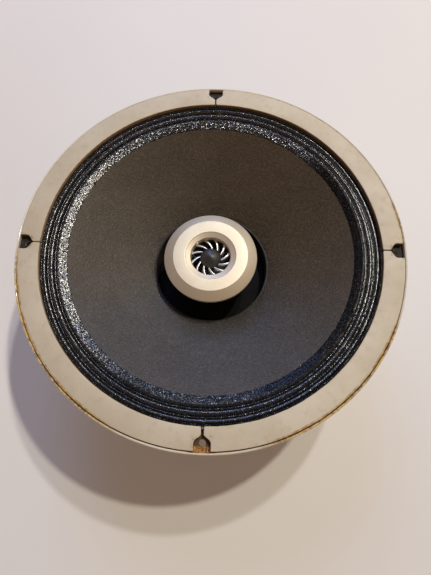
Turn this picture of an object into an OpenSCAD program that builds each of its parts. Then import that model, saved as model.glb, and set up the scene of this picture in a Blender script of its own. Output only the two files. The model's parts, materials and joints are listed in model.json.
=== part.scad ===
// Twelve-inch coaxial loudspeaker driver, standing face up on its rear cover.
// The origin is the centre of the rear face, and +Z points out of the front.
// Each module is one separate piece, or one group of identical pieces.

/* [Overall] */
// Height from the rear face to the front of the gasket
overall_h = 120; // [118:1:126]
// Outer radius of the chassis rim
rim_r = 155; // [155:1:158]

/* [Mounting] */
// Radius of the circle of mounting holes
hole_circle_r = 147.2; // [146.8:0.1:147.5]
// Radius of each mounting hole
hole_r = 2.6; // [2.4:0.05:2.8]
// Width of the gasket's notch round a mounting hole
notch_w = 12.1; // [10:0.1:13]

/* [Front gasket] */
// Inner radius of the gasket ring
gasket_in_r = 136; // [135.5:0.5:137]
// Outer radius of the gasket ring
gasket_out_r = 152.6; // [151.5:0.1:152.8]
// Thickness of the gasket
gasket_t = 4.5; // [3.5:0.1:4.6]

/* [Cone] */
// Radius of the neck opening, which is also the voice coil former's bore
neck_r = 49; // [48.8:0.1:49.1]
// Depth of the neck's edge below the gasket face
neck_depth = 48.5; // [46:0.5:50]
// Thickness of the paper cone
cone_t = 0.9; // [0.6:0.1:1.2]
// Pitch of the edge corrugations
roll_pitch = 5.8; // [5.7:0.05:5.85]
// Half height of the edge corrugations
roll_a = 1.3; // [1:0.1:1.5]

/* [Magnet] */
// Outer radius of the magnet pot
pot_r = 75; // [72:0.5:76]
// Height of the rear cover
cover_h = 13; // [12:0.5:14]

/* [Tweeter] */
// Outer radius of the bevelled front ring
bezel_r = 39.2; // [37:0.1:41]
// Number of spiral vanes
vane_count = 12; // [8:1:16]
// How far each vane turns from the hub to the rim, in degrees
vane_turn = 28; // [20:1:34]

/* [Hidden] */
$fn = 96;
zf = overall_h;            // gasket face
edge_t = 0.45;             // thickness of the cloth edge
flange_top = zf - gasket_t - edge_t; // the cloth edge lies on this, under the gasket
flange_bot = flange_top - 1.5;
seat_top = zf - 64.5;      // chassis seat behind the cone
seat_bot = zf - 66;        // lies on the front plate
plate_bot = zf - 75;
pole_top = zf - 65.5;
pole_bot = zf - 77.5;
magnet_bot = zf - 97;
pot_bot = zf - 107;
lead_a = 225;              // the side where the tags are

// --- helpers -------------------------------------------------------------
function unit(v) = v / norm(v);
function perp(v) = [-v[1], v[0]];
// the polyline p moved sideways by t
function side(p, t) = [for (i = [0:len(p) - 1]) let (
    a = i > 0 ? unit(p[i] - p[i - 1]) : unit(p[1] - p[0]),
    b = i < len(p) - 1 ? unit(p[i + 1] - p[i]) : a,
    n = unit(perp(a) + perp(b)), c = n * perp(a)) p[i] + n * t / max(c, 0.5)];
function back(p) = [for (i = [len(p) - 1:-1:0]) p[i]];
module spin(p) { rotate_extrude($fn = 180) polygon(p); }
module shell(p, t) { spin(concat(p, back(side(p, t)))); }
module ring(r1, r2, z1, z2) { translate([0, 0, z1]) difference() { cylinder(r = r2, h = z2 - z1, $fn = 180); translate([0, 0, -1]) cylinder(r = r1, h = z2 - z1 + 2, $fn = 180); } }
module around(n, r, a0 = 0) { for (i = [0:n - 1]) rotate([0, 0, a0 + i * 360 / n]) translate([r, 0, 0]) children(); }

// a tube of radius r swept along round-number points, with s sides
function bez(p, t) = let (n = len(p), k = min(n - 2, floor(t)), u = t - k,
    a = p[max(k - 1, 0)], b = p[k], c = p[k + 1], d = p[min(k + 2, n - 1)])
    0.5 * ((2 * b) + (c - a) * u + (2 * a - 5 * b + 4 * c - d) * u * u + (3 * b - a - 3 * c + d) * u * u * u);
function line_of(p, m) = [for (i = [0:(len(p) - 1) * m]) bez(p, i / m)];
function tangent(q, i) = unit(q[min(i + 1, len(q) - 1)] - q[max(i - 1, 0)]);
function frames(q, i = 0, u = undef) = i >= len(q) ? [] : let (
    t = tangent(q, i),
    s = is_undef(u) ? (abs(t[2]) > 0.9 ? [1, 0, 0] : [0, 0, 1]) : u,
    v = unit(s - (s * t) * t)) concat([[v, cross(t, v)]], frames(q, i + 1, v));
module sweep(p, r, m = 3, s = 8) {
    q = line_of(p, m);
    f = frames(q);
    n = len(q);
    pts = [for (i = [0:n - 1]) for (j = [0:s - 1]) q[i] + r * (cos(j * 360 / s) * f[i][0] + sin(j * 360 / s) * f[i][1])];
    faces = concat([[for (j = [s - 1:-1:0]) j]],
        [for (i = [0:n - 2]) for (j = [0:s - 1]) [i * s + j, i * s + (j + 1) % s, (i + 1) * s + (j + 1) % s, (i + 1) * s + j]],
        [[for (j = [0:s - 1]) (n - 1) * s + j]]);
    polyhedron(pts, faces, convexity = 6);
}

// --- chassis ---------------------------------------------------------------
// outside of the pressed wall, from the rim to the seat
wall = [[139.8, flange_bot], [138.5, flange_bot - 1.3], [137.4, flange_bot - 8.5], [135.6, flange_bot - 10.5],
    [91, seat_bot + 3], [89.3, seat_bot + 0.8], [87.4, seat_bot], [56, seat_bot]];
wall_in = side(wall, -1.5);
spoke_tilt = 134.1;
module spoke_frame(a) { rotate([0, 0, a]) translate([111.1, 0, seat_bot + 23.7]) rotate([0, spoke_tilt, 0]) children(); }

// a window outline, with rounded corners, between radii r1 and r2 and half angle h
function corner(cu, cv, ku, kv, a0) = [for (i = [0:6]) [cu + ku * cos(a0 + i * 15), cv + kv * sin(a0 + i * 15)]];
function window(r1, r2, h) = let (ku = 0.16, kv = 0.5) [for (w = concat(
    corner(1 - ku, 1 - kv, ku, kv, 0), [for (u = [0.6:-0.2:-0.6]) [u, 1]],
    corner(-1 + ku, 1 - kv, ku, kv, 90), corner(-1 + ku, -1 + kv, ku, kv, 180),
    [for (u = [-0.6:0.2:0.6]) [u, -1]], corner(1 - ku, -1 + kv, ku, kv, 270)))
    let (r = (r1 + r2) / 2 + w[1] * (r2 - r1) / 2, a = w[0] * h) [r * cos(a), r * sin(a)]];

module chassis() color([0.78, 0.73, 0.64]) difference() {
    union() {
        spin(concat(
            [[153.3, flange_top], [153.3, zf - 1.9], [153.55, zf - 1.3], [154.15, zf - 1], [154.75, zf - 1.3], [rim_r, zf - 1.9],
             [rim_r, flange_bot + 0.7], [rim_r - 0.7, flange_bot]],
            wall, [for (i = [len(wall) - 1:-1:1]) wall_in[i]], [[138.9, flange_top - 0.6], [139.9, flange_top]]));
        // flat pad for the tag board
        difference() {
            spoke_frame(lead_a) translate([-13, -28, -5]) cube([26, 56, 8.2]);
            spin(concat([[0, seat_bot - 20]], [[0, zf]], [[138.5, zf]], [[135.9, flange_bot - 8.4]], [[134.5, flange_bot - 9.85]], [[89.86, seat_bot + 4.05]], [[86, seat_bot - 20]]));
        }
    }
    // mounting holes
    around(4, hole_circle_r) translate([0, 0, flange_bot - 2]) cylinder(r = hole_r, h = 8, $fn = 48);
    // windows between the four spokes
    for (i = [0:3]) rotate([0, 0, i * 90]) translate([0, 0, seat_bot - 1]) linear_extrude(60) polygon(window(97, 129, 28));
    // slot behind the tag board
    spoke_frame(lead_a) translate([-4.5, -22, -20]) cube([9, 44, 40]);
    // holes for the board's rivets
    for (s = [-1, 1]) spoke_frame(lead_a) translate([0, s * 24.5, -10]) cylinder(r = 1.6, h = 20, $fn = 24);
    // holes for the motor screws
    around(6, 80.5, 45) translate([0, 0, seat_bot - 2]) cylinder(r = 2.6, h = 8, $fn = 32);
}

// nuts welded under the flange at the mounting holes
module flange_nuts() color([0.35, 0.31, 0.27]) around(4, hole_circle_r) difference() {
    intersection() {
        translate([0, 0, flange_bot - 6.2]) cylinder(r = 5.6, h = 6.2, $fn = 6);
        translate([0, 0, flange_bot - 6.2]) cylinder(r1 = 4.9, r2 = 11.1, h = 6.2, $fn = 96);
    }
    translate([0, 0, flange_bot - 8]) cylinder(r = hole_r, h = 10, $fn = 48);
}

// --- gasket ------------------------------------------------------------------
// half width of the notch and joint line at radius r
function notch_half(r, gap) = r < 141.2 ? gap / 2 : r > 147.4 ? notch_w / 2
    : let (u = (r - 141.2) / 6.2) gap / 2 + (notch_w / 2 - gap / 2) * (u < 0.34 ? 2.8 * u * u : 1 - 1.55 * pow(1 - u, 2));
module notch(gap) {
    rs = concat([130], [for (i = [0:14]) 141.2 + i * 6.2 / 14], [160]);
    linear_extrude(20) polygon(concat([for (r = rs) [r, notch_half(r, gap)]], back([for (r = rs) [r, -notch_half(r, gap)]])));
}
gaps = [0.8, 1.1, 0.8, 2];
module gasket_piece(i) color([0.8, 0.75, 0.66]) difference() {
    rotate([0, 0, i * 90]) translate([0, 0, zf - gasket_t]) rotate_extrude(angle = 90, $fn = 180)
        polygon([[gasket_in_r, 0], [gasket_out_r, 0], [gasket_out_r, gasket_t - 0.4], [gasket_out_r - 0.4, gasket_t], [gasket_in_r + 0.4, gasket_t], [gasket_in_r, gasket_t - 0.4]]);
    rotate([0, 0, i * 90]) translate([0, 0, zf - 12]) notch(gaps[i]);
    rotate([0, 0, i * 90 + 90]) translate([0, 0, zf - 12]) notch(gaps[(i + 1) % 4]);
}
module gasket_upper_right() gasket_piece(0);
module gasket_upper_left() gasket_piece(1);
module gasket_lower_left() gasket_piece(2);
module gasket_lower_right() gasket_piece(3);

// --- cone and its edge ----------------------------------------------------------
crest1 = 132.8;
roll_mid = zf - 5.2;
lip_z = zf - 6.3;
cone_out = [115.2, lip_z];
// the sloping lip that the cloth edge is glued to
function lip(r) = [r, lip_z + (r - cone_out[0]) * 0.41];
cone_in = [neck_r + 0.52, zf - neck_depth];
// front of the cone from its outer edge to the neck, with a slight flare
function cone_point(t) = cone_out + (cone_in - cone_out) * t - [0, 1.2 * sin(180 * t)];
cone_face = concat([lip(119.2)], [for (i = [0:16]) cone_point(i / 16)]);
function cone_z(r) = cone_point((cone_out[0] - r) / (cone_out[0] - cone_in[0]))[1];
module paper_cone() color([0.2, 0.18, 0.17]) shell(cone_face, cone_t);

rolls = concat([[152, flange_top], [137.3, flange_top], [136.6, flange_top - 0.35], [136.1, flange_top - 0.95], [135.7, flange_top - 1.5]],
    [for (r = [crest1 + roll_pitch * 0.4:-roll_pitch / 12:crest1 - 2 * roll_pitch - 0.3]) [r, roll_mid + roll_a * cos(360 * (r - crest1) / roll_pitch)]],
    [lip(119.2), lip(115.3)]);
module edge_surround() color([0.04, 0.04, 0.045]) difference() {
    shell(rolls, -edge_t);
    around(4, hole_circle_r) translate([0, 0, zf - 12]) cylinder(r = 7.6, h = 12, $fn = 48);
}

// --- voice coil and centring ------------------------------------------------------
module coil_former() color([0.72, 0.58, 0.4]) ring(neck_r, neck_r + 0.5, zf - 78, zf - neck_depth + 1.2);
module voice_coil() color([0.75, 0.42, 0.22]) ring(neck_r + 0.5, neck_r + 1.3, zf - 75.2, zf - 65.8);
module neck_glue_ring() color([0.06, 0.05, 0.05]) spin([[neck_r + 0.5, zf - neck_depth - 1.3], [neck_r + 0.5, zf - neck_depth - 4.4], [neck_r + 3.2, zf - neck_depth + 0.4], [neck_r + 2.4, zf - neck_depth - 0.1]]);
module lead_joints() color([0.65, 0.63, 0.58]) for (s = [-1, 1]) rotate([0, 0, lead_a + s * 11])
    translate([60, 0, cone_z(60) - 2.75]) cylinder(r = 1.7, h = 1.3, $fn = 24);
spider_z = zf - 55.6;
web = concat([[73.6, spider_z - 1], [68, spider_z - 1]],
    [for (r = [66.5:-0.42:52.1]) [r, spider_z + 1.3 * sin(360 * (r - 52) / 4.8)]], [[51.2, spider_z], [neck_r + 0.5, spider_z]]);
module spider() color([0.72, 0.58, 0.34]) shell(web, -0.4);
module spider_seat_ring() color([0.55, 0.4, 0.25]) ring(68, 73.8, seat_top, spider_z - 1);

// --- motor ----------------------------------------------------------------------------
module front_plate() color([0.62, 0.6, 0.56]) difference() {
    spin([[neck_r + 2.3, plate_bot], [56, plate_bot], [56, plate_bot - 2], [pot_r - 11.1, plate_bot - 2], [pot_r - 11.1, plate_bot], [pot_r + 10.5, plate_bot], [pot_r + 11, plate_bot + 0.5], [pot_r + 11, seat_bot - 0.5], [pot_r + 10.5, seat_bot], [neck_r + 2.3, seat_bot]]);
    around(6, 80.5, 45) translate([0, 0, plate_bot - 1]) cylinder(r = 2.6, h = 12, $fn = 32);
}
module pole_piece() color([0.55, 0.54, 0.52]) spin([[9.2, pole_bot], [43, pole_bot], [46.6, pole_bot + 2.4], [neck_r - 0.8, pole_bot + 4], [neck_r - 0.8, pole_top - 0.4], [neck_r - 1.2, pole_top], [9.2, pole_top]]);
module ring_magnet() color([0.33, 0.33, 0.34]) ring(14, 41, magnet_bot, pole_bot);
module magnet_pot() color([0.76, 0.71, 0.62]) difference() {
    spin([[9.2, pot_bot], [pot_r - 3, pot_bot], [pot_r - 0.9, pot_bot + 0.9], [pot_r, pot_bot + 3], [pot_r, plate_bot], [pot_r - 11, plate_bot], [pot_r - 11, magnet_bot], [9.2, magnet_bot]]);
    around(3, 54.5, 45) translate([0, 0, pot_bot - 1]) cylinder(r = 1.7, h = 7, $fn = 24);
    rotate([0, 0, cap_a - 12]) translate([pot_r - 6, 0, 28]) rotate([0, 90, 0]) cylinder(r = 1.7, h = 8, $fn = 24);
}
// cheese-headed screws with nuts, through the chassis seat and the front plate
module motor_screws() color([0.5, 0.48, 0.44]) around(6, 80.5, 45) {
    translate([0, 0, plate_bot - 7]) cylinder(r = 2.4, h = 17.5, $fn = 32);
    difference() {
        translate([0, 0, seat_top]) cylinder(r = 4.2, h = 2.8, $fn = 32);
        translate([-5, -0.6, seat_top + 1.6]) cube([10, 1.2, 3]);
    }
    translate([0, 0, plate_bot - 4]) cylinder(r = 4.6, h = 4, $fn = 6);
}
module damping_felt() color([0.02, 0.02, 0.02]) ring(14.3, neck_r - 1.2, pole_top, pole_top + 3);

// --- tweeter -----------------------------------------------------------------------------
bz = zf - 19;              // flat of the front ring
module tweeter_bezel() color([0.82, 0.76, 0.68]) difference() {
    spin([[16.7, bz - 7.2], [16.7, bz - 2.4], [17.1, bz - 1.9], [20.9, bz - 0.5], [21.2, bz - 0.12], [21.7, bz],
        [31.2, bz], [bezel_r - 0.35, bz - 4.75], [bezel_r, bz - 5.1], [bezel_r, bz - 6], [bezel_r - 0.4, bz - 6.4], [31, bz - 6.4], [31, bz - 7.2]]);
    around(3, 27, 30) translate([0, 0, bz - 8]) cylinder(r = 1.25, h = 5, $fn = 24);
}
module tweeter_front_plate() color([0.6, 0.55, 0.47]) difference() {
    spin([[18.6, bz - 9.2], [38.4, bz - 9.2], [38.8, bz - 8.8], [38.8, bz - 7.6], [38.4, bz - 7.2], [18.6, bz - 7.2]]);
    around(3, 27, 30) translate([0, 0, bz - 10]) cylinder(r = 1.35, h = 4, $fn = 24);
}
// one curved vane, drawn in plan from the hub to the rim
function vane_at(u, o) = let (r = 8.6 + u * 8.6, a = vane_turn * pow(u, 0.85) + o) [r * cos(a), r * sin(a)];
module vane() { linear_extrude(5.4) polygon(concat([for (i = [0:8]) vane_at(i / 8, 0)], [for (i = [8:-1:0]) vane_at(i / 8, 5.2 - 1.2 * i / 8)])); }
module phase_plug() color([0.7, 0.7, 0.72]) {
    spin([[0, bz - 12.6], [3, bz - 12.4], [6.5, bz - 12.0], [8.4, bz - 11.2], [9.5, bz - 9.4], [9.6, bz - 8], [8.6, bz - 6.2], [6.2, bz - 4.4], [3, bz - 2.9], [0.8, bz - 2.2], [0, bz - 2.1]]);
    ring(16.2, 18.5, bz - 12.5, bz - 7.25);
    intersection() {
        translate([0, 0, bz - 12.2]) for (i = [0:vane_count - 1]) rotate([0, 0, i * 360 / vane_count - 11]) vane();
        translate([0, 0, bz - 14]) cylinder(r = 16.5, h = 10);
    }
}
module tweeter_spacer() color([0.12, 0.12, 0.12]) difference() {
    spin([[18.6, bz - 9.2], [32.3, bz - 9.2], [32.3, bz - 17.8], [19.6, bz - 17.8], [19.6, bz - 15], [17.4, bz - 13.6], [17.4, bz - 12.5], [18.6, bz - 12.5]]);
    around(3, 27, 30) translate([0, 0, bz - 20]) cylinder(r = 1.35, h = 14, $fn = 24);
}
dome = [for (i = [0:8]) let (a = i * 29.5 / 8) [30 * sin(a), bz - 17.4 - 30 * (cos(29.5) - cos(a))]];
module tweeter_dome() color([0.75, 0.74, 0.7]) union() {
    spin(concat(dome, back([for (p = dome) [p[0], p[1] - 0.35]])));
    ring(14.6, 14.85, bz - 22.6, bz - 17.45);
}
module tweeter_coil() color([0.75, 0.42, 0.22]) ring(14.85, 15.3, bz - 22.4, bz - 19.2);
module tweeter_edge() color([0.3, 0.22, 0.15]) spin([[14.9, bz - 17.9], [15.6, bz - 17.7], [16.2, bz - 17], [17.2, bz - 16.6], [18.2, bz - 17], [18.8, bz - 17.8], [24, bz - 17.8],
    [24, bz - 18.15], [18.5, bz - 18.15], [17.9, bz - 17.35], [17.2, bz - 17], [16.5, bz - 17.35], [15.8, bz - 18.1], [14.9, bz - 18.2]]);
module tweeter_top_plate() color([0.6, 0.6, 0.6]) difference() { ring(15.8, 31.4, bz - 23.2, bz - 18.2); around(3, 27, 30) translate([0, 0, bz - 25]) cylinder(r = 1.25, h = 10, $fn = 24); }
module tweeter_magnet() color([0.25, 0.25, 0.26]) ring(19, 24.4, bz - 33.2, bz - 23.2);
module tweeter_yoke() color([0.6, 0.6, 0.6]) spin([[6.1, bz - 38.2], [31.4, bz - 38.2], [31.4, bz - 33.2], [14.2, bz - 33.2], [14.2, bz - 18.4], [4, bz - 18.4], [4, bz - 30], [6.1, bz - 30]]);
module tweeter_can() color([0.03, 0.03, 0.03]) spin([[6.1, bz - 40.2], [33, bz - 40.2], [34, bz - 39.2], [34, bz - 9.2], [32.4, bz - 9.2], [32.4, bz - 38.2], [6.1, bz - 38.2]]);
module bezel_screws() color([0.5, 0.5, 0.5]) around(3, 27, 30) { translate([0, 0, bz - 25.5]) cylinder(r = 1.2, h = 22, $fn = 24); translate([0, 0, bz - 25.4]) cylinder(r = 2.4, h = 2.15, $fn = 24); }

// --- centre fixing and rear cover ------------------------------------------------------------
module mounting_stem() color([0.6, 0.58, 0.5]) spin([[3.6, pot_bot - 6], [8.4, pot_bot - 6], [9, pot_bot - 5.4], [9, pole_top], [14, pole_top], [14, bz - 40.2], [6, bz - 40.2], [6, bz - 33], [3.6, bz - 33]]);
module stem_washer() color([0.6, 0.58, 0.52]) ring(9.15, 16.5, pot_bot - 1.2, pot_bot);
module stem_nut() color([0.62, 0.55, 0.38]) difference() {
    translate([0, 0, pot_bot - 5.6]) cylinder(r = 15, h = 4.4, $fn = 6);
    translate([0, 0, pot_bot - 8]) cylinder(r = 9.02, h = 9, $fn = 96);
}
module rear_cover() color([0.76, 0.71, 0.62]) difference() {
    spin([[0, 0], [48, 0], [49.4, 0.6], [50, 2], [50, cover_h - 1.3], [59.5, cover_h - 1.3], [60, cover_h - 0.8], [60, cover_h], [48.7, cover_h], [48.7, 2.4], [48.2, 1.5], [47.4, 1.2], [0, 1.2]]);
    around(3, 54.5, 45) translate([0, 0, cover_h - 4]) cylinder(r = 1.8, h = 6, $fn = 24);
    rotate([0, 0, lead_a + 15]) translate([40, 0, 6.6]) rotate([0, 90, 0]) cylinder(r = 3.6, h = 14, $fn = 32);
}
module cover_screws() color([0.5, 0.48, 0.44]) around(3, 54.5, 45) {
    translate([0, 0, cover_h - 1.4]) cylinder(r = 1.6, h = 6, $fn = 24);
    difference() { translate([0, 0, cover_h - 3.2]) cylinder(r = 3, h = 1.9, $fn = 24); translate([-4, -0.4, cover_h - 4]) cube([8, 0.8, 1.8]); }
}
module cable_grommet() color([0.05, 0.05, 0.05]) rotate([0, 0, lead_a + 15]) translate([0, 0, 6.6]) rotate([0, 90, 0])
    rotate_extrude($fn = 48) polygon([[2.7, 47.2], [5, 47.2], [5, 48.6], [3.5, 48.6], [3.5, 50.1], [5, 50.1], [5, 51.8], [4.4, 52.4], [2.7, 52.4]]);

// --- connections --------------------------------------------------------------------------------
tag_y = [-15, -5, 5, 15];
module tag_board() color([0.36, 0.2, 0.1]) spoke_frame(lead_a) difference() {
    translate([-10, -28, 3.2]) cube([20, 56, 2]);
    for (y = tag_y) translate([-0.5, y - 2.5, 0]) cube([1, 5, 8]);
    for (s = [-1, 1]) translate([0, s * 24.5, 0]) cylinder(r = 1.6, h = 8, $fn = 24);
}
module solder_tags() color([0.75, 0.72, 0.62]) spoke_frame(lead_a) for (y = tag_y) difference() {
    translate([-0.4, y - 2.4, -4]) cube([0.8, 4.8, 17]);
    for (z = [-1.6, 10.6]) translate([-2, y, z]) rotate([0, 90, 0]) cylinder(r = 1.1, h = 4, $fn = 24);
}
module board_rivets() color([0.7, 0.6, 0.35]) for (s = [-1, 1]) spoke_frame(lead_a) translate([0, s * 24.5, 0]) {
    translate([0, 0, -3.95]) cylinder(r = 1.5, h = 10, $fn = 24);
    translate([0, 0, 5.2]) cylinder(r = 2.8, h = 1, $fn = 24);
}
// routes of the leads, in the frame turned to the tags' side: x outwards, y sideways
module lead_side() { rotate([0, 0, lead_a]) children(); }
// a braided lead from the coil's joint on the cone, over the spider, to the inner end of a tag
function tinsel(s) = [[58.9, s * 11.4, cone_z(60) - 3.9], [61, s * 12, cone_z(60) - 5.1], [65, s * 13, cone_z(60) - 7.6], [72, s * 14.2, cone_z(60) - 9.6], [80, s * 15, cone_z(60) - 8.6],
    [88, s * 15.2, cone_z(60) - 4], [95, s * 15.2, cone_z(60) + 0.4], [101, s * 15.1, cone_z(60) + 3.4], [105.4, s * 15, cone_z(60) + 4.1], [108.1, s * 15, seat_bot + 26.6]];
module tinsel_lead_a() color([0.7, 0.45, 0.25]) lead_side() sweep(tinsel(1), 0.75, 2);
module tinsel_lead_b() color([0.7, 0.45, 0.25]) lead_side() sweep(tinsel(-1), 0.75, 2);
// the tweeter's two leads: down the stem, across the cover, out at the grommet
function at(r, a, z) = [r * cos(a), r * sin(a), z];
hf_pos = concat([for (z = [82:-15.5:20]) [1.3, 0.5, z]], [[1.4, 0.6, 12], [1.6, 0.7, 8], [1.9, 0.8, 6.4], at(4, 22, 4.9), at(11, 19, 4.6), at(24, 17.2, 4.9), at(38, 16.6, 6), at(45, 16.2, 6.6), at(52, 16.2, 6.6), at(58, 16.7, 6.6),
    at(66, 19.5, 6.6), at(74, 23.6, 6.4), at(81, 27.4, 6.2), at(85.8, 29.5, 6.8), at(87, 30, 8.4), at(87, 30, 9.6), at(87, 30, 10.55)]);
hf_neg = concat([for (z = [82:-15.5:20]) [-1.3, -0.5, z]], [[-1.2, -0.7, 12], [-0.8, -1.0, 8], [0.2, -1.3, 5.6], at(4, -14, 4.3), at(11, 5, 4.2), at(24, 11.4, 4.6), at(38, 13.3, 6), at(45, 13.8, 6.6), at(52, 13.8, 6.6), at(58, 13.1, 6.6),
    at(66, 10.4, 6.8), at(73, 7.6, 7.4), at(77.6, 6, 9.6), at(79.4, 5.4, 13.4), at(81.4, 4.4, 20), at(86, 3.2, 30), at(92, 2.2, 42), at(99, 1, 52), at(106, -0.6, 58.6), at(112.4, -2, 62.6), at(116.2, -2.5, 66.4), at(117.5, -2.44, 68.9)]);
module hf_lead_positive() color([0.55, 0.1, 0.07]) lead_side() sweep(hf_pos, 0.95, 2);
module hf_lead_negative() color([0.1, 0.1, 0.1]) lead_side() sweep(hf_neg, 0.95, 2);
cap_a = lead_a + 30;
module capacitor() color([0.72, 0.62, 0.36]) rotate([0, 0, cap_a]) translate([87, 0, 0]) {
    spin([[0, 11.4], [8.4, 11.4], [9.4, 12.4], [9.4, 41.6], [8.4, 42.6], [0, 42.6]]);
    translate([0, 0, 10.6]) cylinder(r = 1.6, h = 1, $fn = 24);
    translate([0, 0, 42.4]) cylinder(r = 1.6, h = 0.8, $fn = 24);
}
// a band round the capacitor, with a foot that lies against the pot
module capacitor_clip() color([0.6, 0.58, 0.52]) difference() {
    union() {
        rotate([0, 0, cap_a]) translate([87, 0, 23]) cylinder(r = 10.2, h = 10, $fn = 180);
        rotate([0, 0, cap_a - 17]) translate([0, 0, 23]) rotate_extrude(angle = 19, $fn = 180) translate([pot_r + 0.05, 0]) square([1, 10]);
        rotate([0, 0, cap_a]) translate([pot_r + 0.5, -3, 23.5]) cube([1.95, 6, 9]);
    }
    rotate([0, 0, cap_a - 12]) translate([pot_r - 5, 0, 28]) rotate([0, 90, 0]) cylinder(r = 1.8, h = 9, $fn = 24);
    rotate([0, 0, cap_a]) translate([87, 0, 20]) cylinder(r = 9.4, h = 24, $fn = 180);
}
module clip_screw() color([0.5, 0.48, 0.44]) rotate([0, 0, cap_a - 12]) translate([0, 0, 28]) rotate([0, 90, 0]) difference() {
    union() {
        translate([0, 0, pot_r - 5]) cylinder(r = 1.6, h = 7, $fn = 24);
        translate([0, 0, pot_r + 1.1]) cylinder(r = 3, h = 1.8, $fn = 24);
    }
    translate([-0.4, -4, pot_r + 2.2]) cube([0.8, 8, 2]);
}
cap_wire = [at(87, 30, 43.27), at(87, 30, 43.9), at(87.9, 29.7, 44.8), at(90, 28.6, 46.4), at(95, 25, 50), at(101, 19.4, 54), at(108, 12, 58.4), at(113.6, 6, 62.6), at(116.6, 3.1, 66.4), at(117.5, 2.44, 68.9)];
module capacitor_wire() color([0.7, 0.68, 0.62]) lead_side() sweep(cap_wire, 0.6, 2);

chassis();
flange_nuts();
gasket_upper_right();
gasket_upper_left();
gasket_lower_left();
gasket_lower_right();
edge_surround();
paper_cone();
coil_former();
voice_coil();
neck_glue_ring();
lead_joints();
spider();
spider_seat_ring();
front_plate();
pole_piece();
ring_magnet();
magnet_pot();
motor_screws();
damping_felt();
tweeter_bezel();
tweeter_front_plate();
phase_plug();
tweeter_spacer();
tweeter_dome();
tweeter_coil();
tweeter_edge();
tweeter_top_plate();
tweeter_magnet();
tweeter_yoke();
tweeter_can();
bezel_screws();
mounting_stem();
stem_washer();
stem_nut();
rear_cover();
cover_screws();
cable_grommet();
tag_board();
solder_tags();
board_rivets();
tinsel_lead_a();
tinsel_lead_b();
hf_lead_positive();
hf_lead_negative();
capacitor();
capacitor_clip();
clip_screw();
capacitor_wire();
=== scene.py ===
import bpy, bmesh, math, json
import numpy as np
from mathutils import Matrix, Vector
from mathutils.geometry import delaunay_2d_cdt


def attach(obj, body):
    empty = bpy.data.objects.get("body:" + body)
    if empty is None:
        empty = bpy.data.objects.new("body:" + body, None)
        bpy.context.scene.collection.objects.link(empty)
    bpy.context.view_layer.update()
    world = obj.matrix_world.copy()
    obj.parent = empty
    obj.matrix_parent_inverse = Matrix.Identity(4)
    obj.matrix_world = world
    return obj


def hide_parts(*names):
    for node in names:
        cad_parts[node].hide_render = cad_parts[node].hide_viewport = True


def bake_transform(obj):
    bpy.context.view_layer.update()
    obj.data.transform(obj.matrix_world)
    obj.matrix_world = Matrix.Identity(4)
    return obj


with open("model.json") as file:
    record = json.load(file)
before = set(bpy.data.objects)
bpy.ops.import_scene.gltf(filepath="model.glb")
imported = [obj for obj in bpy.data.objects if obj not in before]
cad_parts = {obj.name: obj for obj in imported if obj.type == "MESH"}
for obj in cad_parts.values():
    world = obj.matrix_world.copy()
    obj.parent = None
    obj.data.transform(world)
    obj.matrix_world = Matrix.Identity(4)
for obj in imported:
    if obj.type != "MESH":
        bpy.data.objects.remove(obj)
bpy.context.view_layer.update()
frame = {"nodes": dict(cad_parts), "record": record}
NODE = frame["nodes"]
MM = 0.001

# main heights and radii in millimetres, as in the part
ZF = 120.0
FT = 115.05                 # top of the flange
FB = 113.55
LIP = ZF - 6.3
BZ = ZF - 19.0
SEAT = 55.5

def rnd(seed):
    return np.random.default_rng(seed)

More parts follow.
